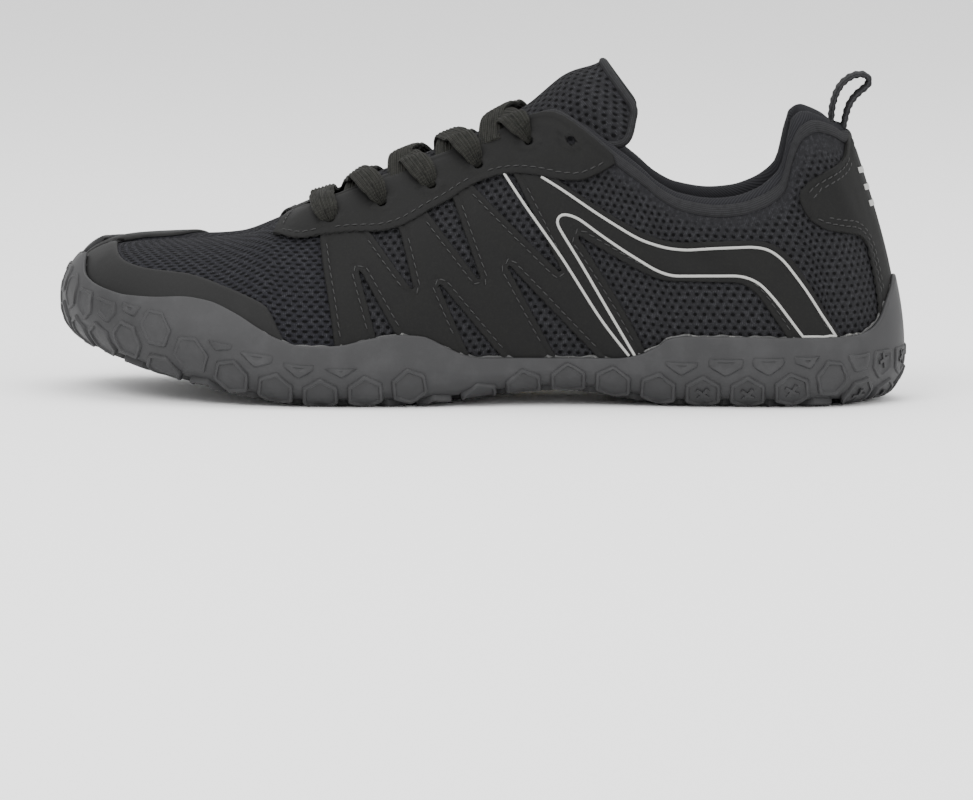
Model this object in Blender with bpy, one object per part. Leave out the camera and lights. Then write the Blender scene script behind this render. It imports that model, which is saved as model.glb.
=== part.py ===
"""Barefoot training shoe for the left foot, empty and standing on its sole.

The frame is in metres: +X runs from heel to toe, +Y to the wearer's left, which is the outer side,
and +Z up. The origin lies on the floor under the heel, at the middle of one tread lug.
"""

import math

import bmesh
import bpy
import numpy as np
from mathutils import Vector
from mathutils.bvhtree import BVHTree

# Driving sizes of the whole shoe
SHOE_LENGTH = 0.280
BALL_WIDTH = 0.1055
HEEL_SEAT = 0.046
TOE_SPRING = 0.018
ARCH_LIFT = 0.0045
MEDIAL_ARCH_LIFT = 0.0035
HEEL_TAB_HEIGHT = 0.0975
ANKLE_HEIGHT = 0.0695
INSTEP_HEIGHT = 0.0965
TOE_BOX_HEIGHT = 0.0500
VAMP_POINT = 0.755

# Walls, gaps and layers
CLEARANCE = 0.0003
UPPER_WALL = 0.0020
COLLAR_PAD = 0.0080
OVERLAY_GAP = 0.0006
OVERLAY_SKIN = 0.0009
EYESTAY_SKIN = 0.0010
OUTSOLE_BASE = 0.0030
RAND_GAP = 0.0009
TOE_GAP = 0.0004
RAND_WALL = 0.0025
RAND_EDGE = 0.0015
SOLE_ROUNDING = 0.0080
INSOLE_THICKNESS = 0.0035

# Tread
LUG_PITCH = 0.0147
LUG_GAP = 0.0030
LUG_HEIGHT = 0.0020
LUG_ROOT = 0.0012
SIDE_LUG_ROOT = 0.0004
SIDE_LUG_HEIGHT = 0.0009
INSERT_LENGTH = 0.146 * SHOE_LENGTH
INSERT_WIDTH = 0.063 * BALL_WIDTH
INSERT_DEPTH = 0.0012
INSERT_X = 0.479 * SHOE_LENGTH
INSERT_Y = -0.171 * BALL_WIDTH

# Half widths of the sole, as shares of BALL_WIDTH, at shares of the length from heel to toe
OUTLINE = (
    # share, lateral, medial
    (0.000, 0.000, 0.000),
    (0.025, 0.175, 0.178),
    (0.051, 0.258, 0.258),
    (0.084, 0.312, 0.303),
    (0.117, 0.340, 0.322),
    (0.183, 0.357, 0.331),
    (0.250, 0.357, 0.330),
    (0.315, 0.353, 0.320),
    (0.381, 0.357, 0.313),
    (0.447, 0.373, 0.324),
    (0.500, 0.400, 0.356),
    (0.545, 0.436, 0.396),
    (0.592, 0.469, 0.438),
    (0.644, 0.493, 0.477),
    (0.710, 0.503, 0.497),
    (0.776, 0.488, 0.496),
    (0.842, 0.437, 0.482),
    (0.908, 0.352, 0.455),
    (0.941, 0.278, 0.424),
    (0.974, 0.155, 0.350),
    (0.990, 0.045, 0.262),
    (1.000, -0.124, 0.124),
)

# Lift of the tread off the floor: shares of TOE_SPRING, ARCH_LIFT and MEDIAL_ARCH_LIFT
TREAD_LIFT = (
    # share, toe spring, arch, medial arch
    (0.000, 0.120, 0.00, 0.00),
    (0.050, 0.030, 0.00, 0.00),
    (0.090, 0.000, 0.00, 0.00),
    (0.270, 0.000, 0.00, 0.00),
    (0.330, 0.000, 0.45, 0.40),
    (0.400, 0.000, 1.00, 1.00),
    (0.450, 0.000, 0.90, 1.00),
    (0.520, 0.000, 0.35, 0.40),
    (0.590, 0.000, 0.00, 0.00),
    (0.700, 0.000, 0.00, 0.00),
    (0.760, 0.105, 0.00, 0.00),
    (0.812, 0.245, 0.00, 0.00),
    (0.867, 0.440, 0.00, 0.00),
    (0.910, 0.610, 0.00, 0.00),
    (0.950, 0.790, 0.00, 0.00),
    (1.000, 1.000, 0.00, 0.00),
)

# Height of the rubber rand's top edge, as shares of RAND_HEIGHT
RAND_HEIGHT = 0.042
RAND_TOP = (
    # share, lateral, medial
    (0.000, 1.000, 1.000),
    (0.021, 0.960, 0.960),
    (0.025, 0.870, 0.870),
    (0.031, 0.770, 0.770),
    (0.038, 0.660, 0.660),
    (0.048, 0.590, 0.590),
    (0.066, 0.545, 0.545),
    (0.100, 0.535, 0.535),
    (0.264, 0.545, 0.545),
    (0.284, 0.525, 0.530),
    (0.296, 0.470, 0.480),
    (0.320, 0.395, 0.420),
    (0.345, 0.370, 0.400),
    (0.500, 0.370, 0.400),
    (0.524, 0.395, 0.415),
    (0.546, 0.460, 0.460),
    (0.575, 0.540, 0.535),
    (0.600, 0.547, 0.547),
    (0.634, 0.515, 0.520),
    (0.669, 0.462, 0.470),
    (0.705, 0.452, 0.460),
    (0.739, 0.507, 0.520),
    (0.761, 0.580, 0.600),
    (0.790, 0.690, 0.740),
    (0.821, 0.767, 0.860),
    (0.850, 0.790, 0.960),
    (0.885, 0.780, 1.070),
    (0.915, 0.785, 1.175),
    (0.939, 0.815, 1.225),
    (0.956, 0.855, 1.185),
    (0.966, 0.905, 1.110),
    (0.973, 1.010, 1.010),
    (1.000, 1.020, 1.020),
)

# Topline of the upper: collar, throat and the ridge over the toes
TOPLINE = (
    # share, height
    (0.000, 0.955 * HEEL_TAB_HEIGHT),
    (0.010, 0.956 * HEEL_TAB_HEIGHT),
    (0.030, 0.985 * HEEL_TAB_HEIGHT),
    (0.052, 1.000 * HEEL_TAB_HEIGHT),
    (0.071, 0.975 * HEEL_TAB_HEIGHT),
    (0.083, 0.910 * HEEL_TAB_HEIGHT),
    (0.094, 0.800 * HEEL_TAB_HEIGHT),
    (0.107, 1.075 * ANKLE_HEIGHT),
    (0.127, 1.035 * ANKLE_HEIGHT),
    (0.154, 1.005 * ANKLE_HEIGHT),
    (0.185, 0.995 * ANKLE_HEIGHT),
    (0.231, 1.018 * ANKLE_HEIGHT),
    (0.260, 1.065 * ANKLE_HEIGHT),
    (0.287, 1.140 * ANKLE_HEIGHT),
    (0.333, 0.902 * INSTEP_HEIGHT),
    (0.373, 0.962 * INSTEP_HEIGHT),
    (0.412, 1.000 * INSTEP_HEIGHT),
    (0.451, 0.972 * INSTEP_HEIGHT),
    (0.482, 0.925 * INSTEP_HEIGHT),
    (0.522, 0.880 * INSTEP_HEIGHT),
    (0.579, 0.824 * INSTEP_HEIGHT),
    (0.640, 0.763 * INSTEP_HEIGHT),
    (0.700, 0.700 * INSTEP_HEIGHT),
    (0.755, 0.641 * INSTEP_HEIGHT),
    (0.828, 1.080 * TOE_BOX_HEIGHT),
    (0.875, 1.045 * TOE_BOX_HEIGHT),
    (0.930, 1.025 * TOE_BOX_HEIGHT),
    (1.000, 0.985 * TOE_BOX_HEIGHT),
)

# Sections of the upper. Each side is a cubic curve from the feather edge to the topline:
# widths are shares of the local half width, heights are shares of the section's own height.
SECTIONS = (
    # share, bulge out, bulge in, shoulder out, shoulder in, opening, bulge height, high out, high in
    (0.000, 1.05, 1.05, 0.88, 0.88, 0.72, 0.30, 0.65, 0.65),
    (0.060, 1.05, 1.06, 0.90, 0.90, 0.75, 0.32, 0.66, 0.66),
    (0.190, 1.06, 1.18, 0.92, 0.92, 0.80, 0.36, 0.70, 0.70),
    (0.300, 1.06, 1.46, 0.94, 0.94, 0.80, 0.36, 0.74, 0.74),
    (0.345, 1.06, 1.62, 0.94, 0.94, 0.77, 0.36, 0.76, 0.76),
    (0.385, 1.07, 1.70, 0.91, 0.91, 0.67, 0.36, 0.80, 0.80),
    (0.422, 1.07, 1.70, 0.86, 0.86, 0.50, 0.36, 0.84, 0.84),
    (0.466, 1.07, 1.58, 0.79, 0.79, 0.37, 0.36, 0.88, 0.88),
    (0.522, 1.06, 1.38, 0.70, 0.70, 0.30, 0.36, 0.90, 0.90),
    (0.579, 1.04, 1.20, 0.64, 0.64, 0.27, 0.36, 0.91, 0.91),
    (0.640, 1.02, 1.08, 0.59, 0.59, 0.24, 0.37, 0.92, 0.92),
    (0.700, 1.01, 1.03, 0.56, 0.57, 0.22, 0.38, 0.94, 0.94),
    (0.740, 1.01, 1.02, 0.56, 0.58, 0.17, 0.39, 0.96, 0.97),
    (0.755, 1.01, 1.02, 0.56, 0.59, 0.00, 0.40, 1.00, 1.01),
    (0.830, 1.02, 1.03, 0.60, 0.70, 0.00, 0.44, 1.00, 1.05),
    (0.900, 1.03, 1.04, 0.64, 0.84, 0.00, 0.46, 1.00, 1.12),
    (0.960, 1.04, 1.04, 0.68, 0.88, 0.00, 0.46, 0.99, 1.13),
    (1.000, 1.04, 1.04, 0.74, 0.80, 0.00, 0.45, 0.98, 1.02),
)
FEATHER_WIDTH = 0.935

# Side view of the two ends of the upper, heel back and toe front, measured in from the sole's ends
HEEL_END = (0.0045, 0.0000, 0.0105, 0.0205)
TOE_END = (0.0050, -0.0010, 0.0040, 0.0230)

# Side views of the overlays as shares of SHOE_LENGTH: along from the heel's back, up from the floor
EYESTAY_LOWER_EDGE = (
    (0.753, 0.204), (0.747, 0.191), (0.716, 0.189), (0.695, 0.194), (0.657, 0.197), (0.621, 0.199),
    (0.597, 0.206), (0.580, 0.215), (0.563, 0.226), (0.544, 0.235), (0.524, 0.249), (0.504, 0.259),
    (0.480, 0.267), (0.457, 0.269), (0.435, 0.267), (0.409, 0.262), (0.386, 0.262), (0.362, 0.273),
    (0.348, 0.282),
)
SIDE_FRONT_EDGE = ((0.669, 0.040), (0.680, 0.116), (0.690, 0.169), (0.694, 0.193))
BAND_TOP_EDGE = (
    (0.404, 0.256), (0.357, 0.226), (0.317, 0.203), (0.289, 0.194), (0.268, 0.192), (0.185, 0.195),
    (0.165, 0.192), (0.146, 0.180), (0.120, 0.145), (0.083, 0.083), (0.062, 0.040),
)
SIDE_WINDOWS = (
    ((0.640, 0.208), (0.601, 0.210), (0.581, 0.131)),
    ((0.648, 0.163), (0.614, 0.040), (0.577, 0.040)),
    ((0.574, 0.232), (0.541, 0.248), (0.502, 0.141)),
    ((0.556, 0.148), (0.504, 0.030), (0.456, 0.030)),
    ((0.522, 0.262), (0.474, 0.282), (0.406, 0.151)),
    ((0.477, 0.170), (0.400, 0.030), (0.340, 0.030)),
    (
        (0.396, 0.203), (0.362, 0.183), (0.321, 0.160), (0.291, 0.147), (0.198, 0.146), (0.180, 0.132),
        (0.147, 0.085), (0.125, 0.030), (0.295, 0.030), (0.314, 0.073), (0.339, 0.118), (0.362, 0.154),
        (0.382, 0.185),
    ),
)
TOE_INNER_EDGE = (
    (0.937, 0.230), (0.936, 0.172), (0.930, 0.159), (0.910, 0.152), (0.880, 0.149), (0.857, 0.149),
    (0.833, 0.146), (0.810, 0.138), (0.786, 0.130), (0.763, 0.121), (0.744, 0.111), (0.727, 0.095),
    (0.716, 0.079), (0.706, 0.040),
)
COUNTER_EDGE = (
    (0.075, 0.400), (0.075, 0.321), (0.079, 0.290), (0.086, 0.282), (0.121, 0.264), (0.132, 0.252),
    (0.132, 0.238), (0.120, 0.217), (0.104, 0.207), (0.062, 0.199), (0.052, 0.187), (0.043, 0.150),
    (0.037, 0.116), (0.035, 0.040),
)

# Eyelets: place round the outline as a share of the upper's length, and level
EYELET_RADIUS = 0.0020
EYELETS = ((0.693, 0.74), (0.627, 0.75), (0.565, 0.77), (0.505, 0.80), (0.440, 0.83), (0.386, 0.88))
LACED = 5
LACE_WIDTH = 0.0080
LACE_THICKNESS = 0.0014
LACE_LIFTS = (0.00, 0.25, 0.50, 0.13, 0.38)

# Tongue
TONGUE_THICKNESS = 0.0050
TONGUE_TOP = (0.373 * SHOE_LENGTH, 1.150 * INSTEP_HEIGHT)
TONGUE_TOP_SIDE = (0.307 * SHOE_LENGTH, 0.881 * INSTEP_HEIGHT)
TONGUE_HALF_WIDTH = 0.204 * BALL_WIDTH
TONGUE_SHIFT = 0.014 * BALL_WIDTH
TONGUE_BULGE = 0.0050
TONGUE_SIDE_LEVELS = (0.82, 0.90)
TONGUE_POINTS = 13
TONGUE_CLEARANCE = 0.0008
TONGUE_ROWS = (0.80, 0.772, 0.755, 0.735, 0.70, 0.66, 0.61, 0.565, 0.522, 0.48, 0.445)

# Pull loop, in the middle plane: along from the heel's back as a share of SHOE_LENGTH, and up from
# the collar's top edge there
LOOP_WIDTH = 0.0110
LOOP_THICKNESS = 0.0012
LOOP_SEAT = 0.943 * HEEL_TAB_HEIGHT
LOOP_LINE = (
    (0.076, 0.0000), (0.073, 0.0041), (0.068, 0.0071), (0.059, 0.0099), (0.049, 0.0118),
    (0.046, 0.0136), (0.049, 0.0153), (0.057, 0.0159), (0.070, 0.0149), (0.081, 0.0123),
    (0.0875, 0.0086), (0.091, 0.0046), (0.092, 0.0000),
)

# Stations round the upper, as shares of its length, and levels from feather edge to topline
STATIONS = (
    0.0, 0.010, 0.034, 0.066, 0.080, 0.092, 0.110, 0.150, 0.200, 0.255, 0.300, 0.342, 0.382, 0.422,
    0.470, 0.522, 0.579, 0.636, 0.690, 0.730, VAMP_POINT, 0.795, 0.840, 0.885, 0.925, 0.958, 0.983, 1.0,
)
LEVELS = 10
RIM_STEPS = 4


def turn_of(share):
    """The place round the outline, 0 at the heel and 1 at the toe, where a share of the length lies."""
    return np.arccos(1 - 2 * np.clip(share, 0, 1)) / math.pi


def share_of(turn):
    """The share of the length at a place round the outline."""
    return (1 - np.cos(math.pi * np.asarray(turn, float))) / 2


def fair(table, column, share):
    """A column of a table as a fair curve that keeps its rows and never overshoots between them."""
    rows = np.array(table, float)
    at, value = turn_of(rows[:, 0]), rows[:, column]
    step, slope = np.diff(at), np.diff(value) / np.diff(at)
    level = slope[:-1] * slope[1:] > 0
    mean = (step[:-1] + step[1:]) * 3
    near = step[:-1] + 2 * step[1:]
    safe = np.where(level, slope[:-1], 1), np.where(level, slope[1:], 1)
    inner = np.where(level, mean / (near / safe[0] + (mean - near) / safe[1]), 0)
    tangent = np.concatenate([slope[:1], inner, slope[-1:]])
    x = turn_of(share)
    k = np.clip(np.searchsorted(at, x) - 1, 0, len(step) - 1)
    u = (x - at[k]) / step[k]
    start = value[k] * (1 + 2 * u) * (1 - u) ** 2 + step[k] * tangent[k] * u * (1 - u) ** 2
    end = value[k + 1] * u * u * (3 - 2 * u) + step[k] * tangent[k + 1] * u * u * (u - 1)
    return start + end


def cubic(p0, p1, p2, p3, t):
    """A cubic curve's value at t."""
    return p0 * (1 - t) ** 3 + 3 * p1 * t * (1 - t) ** 2 + 3 * p2 * t * t * (1 - t) + p3 * t**3


def smoothstep(low, high, value):
    """0 below low, 1 above high, and an even rise between."""
    t = np.clip((value - low) / (high - low), 0, 1)
    return t * t * (3 - 2 * t)


def tread_height(x, y):
    """Height of the lug faces above the floor at a place in plan, with x from the heel's back."""
    share = x / SHOE_LENGTH
    inner_side = smoothstep(0.0, -0.3 * BALL_WIDTH, y)
    return (
        TOE_SPRING * fair(TREAD_LIFT, 1, share)
        + ARCH_LIFT * fair(TREAD_LIFT, 2, share)
        + MEDIAL_ARCH_LIFT * fair(TREAD_LIFT, 3, share) * inner_side
    )


def floor_height(x, y):
    """Height of the outsole's inner floor."""
    return tread_height(x, y) + LUG_HEIGHT + OUTSOLE_BASE


def pad_thickness(turn, level):
    """Thickness of the upper's wall, which swells into the padded collar."""
    share = share_of(turn)
    behind = 1 - smoothstep(0.31, 0.41, share)
    high = smoothstep(0.42, 0.80, level)
    return UPPER_WALL + (COLLAR_PAD - UPPER_WALL) * behind * high


def skin(turn, level):
    """A point of the upper's outer surface. Turn runs 0 to 2 round the foot: heel, outer side, toe at 1,
    inner side. Level runs from 0 at the feather edge to 1 at the topline."""
    turn, level = np.broadcast_arrays(np.mod(turn, 2.0), np.clip(level, 0, 1))
    lateral = turn <= 1
    share = share_of(turn)
    outer = fair(OUTLINE, 1, share) * BALL_WIDTH
    inner = -fair(OUTLINE, 2, share) * BALL_WIDTH
    middle = (outer + inner) / 2
    half = np.where(lateral, outer, inner) - middle
    bulge = np.where(lateral, fair(SECTIONS, 1, share), fair(SECTIONS, 2, share))
    opening = np.where(share >= VAMP_POINT, 0, fair(SECTIONS, 5, share))
    shoulder = np.where(lateral, fair(SECTIONS, 3, share), fair(SECTIONS, 4, share))
    width = cubic(FEATHER_WIDTH, bulge, shoulder, opening, level)
    x_heel = cubic(*HEEL_END, level)
    x_toe = SHOE_LENGTH - cubic(*TOE_END, level)
    x = x_heel + share * (x_toe - x_heel)
    foot = floor_height(x, middle + half * FEATHER_WIDTH) + CLEARANCE
    top = fair(TOPLINE, 1, share) - pad_thickness(turn, 1.0) / 2
    high = np.where(lateral, fair(SECTIONS, 7, share), fair(SECTIONS, 8, share))
    rise = cubic(0, fair(SECTIONS, 6, share), high, 1, level)
    return np.stack([x, middle + half * width, foot + (top - foot) * rise], -1)


def skin_normal(turn, level):
    """The outward direction of the upper's outer surface, taken just under the topline at the top."""
    level = np.minimum(level, 0.97)
    along = skin(np.asarray(turn) + 0.004, level) - skin(np.asarray(turn) - 0.004, level)
    up = skin(turn, level + 0.01) - skin(turn, level - 0.01)
    across = np.cross(up, along)
    return across / np.linalg.norm(across, axis=-1, keepdims=True)


def layer(turn, level, distance):
    """A point at a distance outside the upper's outer surface; a negative one lies inside."""
    distance = np.asarray(distance, float)[..., None]
    return skin(turn, level) + skin_normal(turn, level) * distance


def rib_layer(turn, level, distance):
    """A point outside the upper's flat-sided wall, whose ribs run straight between its levels."""
    low = np.minimum(np.floor(level * LEVELS), LEVELS - 1) / LEVELS
    part = ((level - low) * LEVELS)[:, None]
    gap = np.full(len(turn), distance)
    return layer(turn, low, gap) * (1 - part) + layer(turn, low + 1 / LEVELS, gap) * part


def ring_turns(shares):
    """Places once round the outline for these shares: outer side to the toe, then back along the inner."""
    lateral = turn_of(np.array(shares))
    return np.concatenate([lateral, 2 - lateral[-2:0:-1]])


def level_at_height(turn, height_table):
    """The level on each rib where it reaches the rand's top edge, faired from one side's to the other's."""
    levels = np.linspace(0, 1, 81)
    found = []
    for one in turn:
        rib = skin(np.full(81, one), levels)
        sides = []
        for column in (1, 2):
            edge = RAND_HEIGHT * fair(height_table, column, rib[:, 0] / SHOE_LENGTH)
            over = np.nonzero(rib[:, 2] > edge)[0]
            k = max(1, over[0]) if len(over) else 80
            drop = (edge - rib[:, 2])[k - 1], (edge - rib[:, 2])[k]
            part = np.clip(drop[0] / max(drop[0] - drop[1], 1e-9), 0, 1)
            sides.append(levels[k - 1] + part * (levels[k] - levels[k - 1]))
        medial = smoothstep(0.90, 1.25, one)
        found.append(sides[0] * (1 - medial) + sides[1] * medial)
    return np.array(found)


def material(name, colour, roughness, metallic=0.0):
    """A plain principled material."""
    made = bpy.data.materials.new(name)
    made.use_nodes = True
    shader = made.node_tree.nodes["Principled BSDF"]
    shader.inputs["Base Color"].default_value = (*colour, 1)
    shader.inputs["Roughness"].default_value = roughness
    shader.inputs["Metallic"].default_value = metallic
    return made


def new_object(name, bm, where, look=None):
    """An object from a bmesh whose points are measured from the heel's back."""
    bmesh.ops.translate(bm, vec=(-HEEL_SEAT, 0, 0), verts=bm.verts)
    bmesh.ops.recalc_face_normals(bm, faces=bm.faces)
    mesh = bpy.data.meshes.new(name)
    bm.to_mesh(mesh)
    bm.free()
    made = bpy.data.objects.new(name, mesh)
    where.objects.link(made)
    if look:
        mesh.materials.append(look)
    mesh.shade_smooth()
    mesh.set_sharp_from_angle(angle=math.radians(35))
    return made


def band_between(bm, first, second, closed=True, downward=False):
    """A band of triangle pairs between two rows of vertices. Neighbouring pieces are divided alike,
    from the lower row's start to the upper row's end, so that their gap stays even."""
    count = len(first)
    for k in range(count if closed else count - 1):
        n = (k + 1) % count
        if downward:
            bm.faces.new((first[k], first[n], second[k]))
            bm.faces.new((first[n], second[n], second[k]))
        else:
            bm.faces.new((first[k], first[n], second[n]))
            bm.faces.new((first[k], second[n], second[k]))


def cap_across(bm, ring, height, merge):
    """Closes a ring with strips between its outer and inner sides, at the height given for each place.
    Strips that lie in one plane are merged."""
    half = len(ring) // 2
    rows = []
    for k in range(1, half):
        outer, inner = ring[k], ring[-k]
        row = [outer]
        for part in (0.35, 0.65):
            place = outer.co.lerp(inner.co, part)
            row.append(bm.verts.new((place.x, place.y, height(place.x, place.y))))
        rows.append(row + [inner])
    faces = [bm.faces.new([ring[0]] + rows[0]), bm.faces.new([ring[half]] + rows[-1][::-1])]
    for low, high in zip(rows, rows[1:]):
        for k in range(3):
            faces.append(bm.faces.new((low[k], high[k], high[k + 1], low[k + 1])))
    if merge:
        edges = {edge for face in faces for edge in face.edges if all(f in faces for f in edge.link_faces)}
        bmesh.ops.dissolve_limit(bm, angle_limit=math.radians(1.5), verts=[], edges=list(edges))


def lofted_shell(outer, inner, rim, open_count):
    """A closed wall between two grids of points round the foot, with a rim where the top is open."""
    bm = bmesh.new()
    grids = []
    for grid in (outer, inner):
        grids.append([[bm.verts.new(p) for p in row] for row in grid])
        for low, high in zip(grids[-1], grids[-1][1:]):
            band_between(bm, low, high)
    band_between(bm, grids[0][0], grids[1][0])
    count = len(outer[0])
    span = [k % count for k in range(-open_count, open_count + 1)]
    rows = [[grids[0][-1][k] for k in span]]
    for row in rim:
        rows.append([bm.verts.new(row[k]) for k in span])
    rows.append([grids[1][-1][k] for k in span])
    for low, high in zip(rows, rows[1:]):
        band_between(bm, low, high, closed=False)
    bmesh.ops.remove_doubles(bm, verts=bm.verts, dist=0.00001)
    return bm


def joined_ridge(row, first_closed):
    """Makes the outer and inner sides of a top row meet where the upper is closed over the toes."""
    half = len(row) // 2
    row = row.copy()
    for k in range(first_closed, half):
        row[k] = row[-k] = (row[k] + row[-k]) / 2
    return row


def upper_wall(outside, inside, round_rim):
    """A wall of the upper between two distances from its outer surface, either numbers or a function."""
    turn = ring_turns(STATIONS)
    levels = np.linspace(0, 1, LEVELS + 1)
    first_closed = STATIONS.index(VAMP_POINT)
    grids = []
    for distance in (outside, inside):
        grid = []
        for level in levels:
            gap = distance(turn, level) if callable(distance) else np.full(len(turn), distance)
            grid.append(layer(turn, np.full(len(turn), level), gap))
        grid[-1] = joined_ridge(grid[-1], first_closed)
        grids.append(grid)
    rim = []
    if round_rim:
        top, bottom = grids[0][-1], grids[1][-1]
        centre, reach = (top + bottom) / 2, (top - bottom) / 2
        up = skin(turn, 1.0) - skin(turn, 0.98)
        up[first_closed] = up[-first_closed] = skin(turn[first_closed - 1], 1.0) - top[first_closed]
        up[first_closed, 1] = up[-first_closed, 1] = 0
        length = np.linalg.norm(reach, axis=1, keepdims=True)
        up = up / np.linalg.norm(up, axis=1, keepdims=True) * length
        for k in range(1, RIM_STEPS):
            angle = math.pi * k / RIM_STEPS
            rim.append(centre + reach * math.cos(angle) + up * math.sin(angle))
    return lofted_shell(*grids, rim, first_closed)


def build_upper(where, look):
    """The hollow mesh upper, open at collar and throat and underneath."""
    bm = upper_wall(0.0, lambda turn, level: -pad_thickness(turn, level), True)
    return new_object("upper", bm, where, look)


def sole_rings():
    """Rings of the outsole from the tread's flat edge, up the outside and down to the inner floor."""
    turn = ring_turns(STATIONS)
    edge = level_at_height(turn, RAND_TOP)
    foot = np.minimum(0.10, edge * 0.45)
    gap = RAND_GAP + TOE_GAP * smoothstep(0.90, 0.98, share_of(turn))
    widest = layer(turn, foot, RAND_GAP + RAND_WALL + 0 * turn)
    flat = widest - np.roll(widest, 1, 0) + np.roll(widest, -1, 0) - widest
    inward = np.stack([-flat[:, 1], flat[:, 0]], -1)
    inward /= np.linalg.norm(inward, axis=1, keepdims=True)
    middle = widest[:, :2].mean(0)
    inward *= np.sign(((middle - widest[:, :2]) * inward).sum(1))[:, None]
    rings = []
    for degrees in (0, 30, 60):
        angle = math.radians(degrees)
        plan = widest[:, :2] + inward * SOLE_ROUNDING * (1 - math.sin(angle))
        base = tread_height(plan[:, 0], plan[:, 1]) + LUG_HEIGHT
        height = base + (widest[:, 2] - base) * (1 - math.cos(angle))
        rings.append(np.column_stack([plan, height]))
    rings.append(widest)
    for k in range(2, LEVELS + 1):
        level = np.minimum(k / LEVELS, edge)
        wall = RAND_WALL + (RAND_EDGE - RAND_WALL) * np.clip((level - foot) / (edge - foot), 0, 1)
        rings.append(layer(turn, level, RAND_GAP + wall))
    outside = len(rings)
    for k in range(LEVELS, 0, -1):
        rings.append(rib_layer(turn, np.minimum(k / LEVELS, edge), gap))
    lowest = layer(turn, np.zeros(len(turn)), gap)
    lowest[:, 2] = floor_height(lowest[:, 0], lowest[:, 1])
    rings.append(lowest)
    return rings, outside


def nearest_on_ring(ring, point):
    """Segment, part along it and signed distance of the nearest place on a flat ring; out is positive."""
    start, end = ring[:, :2], np.roll(ring[:, :2], -1, 0)
    run = end - start
    part = np.clip(((point - start) * run).sum(1) / (run**2).sum(1), 0, 1)
    foot = start + run * part[:, None]
    gap = np.linalg.norm(point - foot, axis=1)
    k = int(np.argmin(gap))
    off = point - foot[k]
    inside = run[k, 0] * off[1] - run[k, 1] * off[0] < 0
    return k, part[k], -gap[k] if inside else gap[k]


def place_on_sole(rings, point, rise):
    """Where a place of the tread's flat pattern comes to lie on the sole, which it wraps upward."""
    k, part, out = nearest_on_ring(rings[0], np.array(point))
    if out <= 0:
        base = tread_height(point[0], point[1]) + LUG_HEIGHT
        return np.array([point[0], point[1], base - rise])
    n = (k + 1) % len(rings[0])
    line = np.array([ring[k] * (1 - part) + ring[n] * part for ring in rings])
    steps = np.linalg.norm(np.diff(line, axis=0), axis=1)
    at = np.concatenate([[0], np.cumsum(steps)])
    place = np.array([np.interp(out, at, line[:, axis]) for axis in range(3)])
    ahead = np.array([np.interp(out + 0.002, at, line[:, axis]) for axis in range(3)])
    behind = np.array([np.interp(out - 0.002, at, line[:, axis]) for axis in range(3)])
    run = rings[0][n] - rings[0][k]
    normal = np.cross(run, ahead - behind)
    normal /= np.linalg.norm(normal)
    return place - normal * rise


def lug_centres(flat):
    """Centres of the honeycomb, without the ones under the inner arch or far outside the sole."""
    row_step = LUG_PITCH * math.sqrt(3) / 2
    found = []
    for row in range(-5, 6):
        for column in range(-6, 20):
            x = HEEL_SEAT + (column + 0.5 * (row % 2)) * LUG_PITCH
            y = row * row_step
            arch = row < 0 and 0.348 - 0.012 * (-1 - row) < x / SHOE_LENGTH < 0.600 + 0.024 * (-1 - row)
            out = nearest_on_ring(flat, np.array([x, y]))[2]
            if not arch and out < 0.0120:
                found.append((x, y, out))
    return found


def build_lugs(rings, cutters):
    """All tread lugs as one tool: six-sided blocks that wrap round the sole's rounded edge."""
    side = (LUG_PITCH - LUG_GAP) / math.sqrt(3)
    bm = bmesh.new()
    for x, y, out in lug_centres(rings[0]):
        corners = [
            (x + side * math.cos(math.radians(a)), y + side * math.sin(math.radians(a)))
            for a in range(30, 390, 60)
        ]
        faces = []
        for sunk in (True, False):
            ring = []
            for corner in corners + [(x, y)]:
                beyond = nearest_on_ring(rings[0], np.array(corner))[2]
                height = LUG_HEIGHT + (SIDE_LUG_HEIGHT - LUG_HEIGHT) * smoothstep(0.001, 0.008, beyond)
                root = LUG_ROOT + (SIDE_LUG_ROOT - LUG_ROOT) * smoothstep(0.0, 0.004, beyond)
                rise = float(-root if sunk else height)
                ring.append(bm.verts.new(place_on_sole(rings, corner, rise)))
            faces.append(ring)
        band_between(bm, faces[0][:6], faces[1][:6])
        for ring, order in ((faces[0], 1), (faces[1], -1)):
            middle = ring.pop()
            if out < -side:
                bm.verts.remove(middle)
                bm.faces.new(ring[::order])
            else:
                for k in range(6):
                    bm.faces.new((ring[k], ring[(k + 1) % 6], middle)[::order])
    lugs = new_object("tread lugs", bm, cutters)
    lugs.hide_render = True
    lugs.display_type = "WIRE"
    return lugs


def arch_bar(name, rings, where, inset, low, high, look=None):
    """The small insert under the inner arch, or the pocket for it, following the sole's own surface."""
    tilt = math.radians(3)
    bm = bmesh.new()
    rows = []
    for along in np.linspace(-0.5, 0.5, 7):
        row = []
        for across, rise in ((-0.5, low), (0.5, low), (0.5, high), (-0.5, high)):
            u = along * (INSERT_LENGTH - 2 * inset)
            v = across * (INSERT_WIDTH - 2 * inset)
            x = INSERT_X + u * math.cos(tilt) + v * math.sin(tilt)
            y = INSERT_Y - u * math.sin(tilt) + v * math.cos(tilt)
            base = tread_height(x, INSERT_Y) + LUG_HEIGHT
            row.append(bm.verts.new((x, y, base - rise)))
        rows.append(row)
    for first, second in zip(rows, rows[1:]):
        band_between(bm, first, second)
    bm.faces.new(rows[0])
    bm.faces.new(rows[-1][::-1])
    return new_object(name, bm, where, look)


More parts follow.
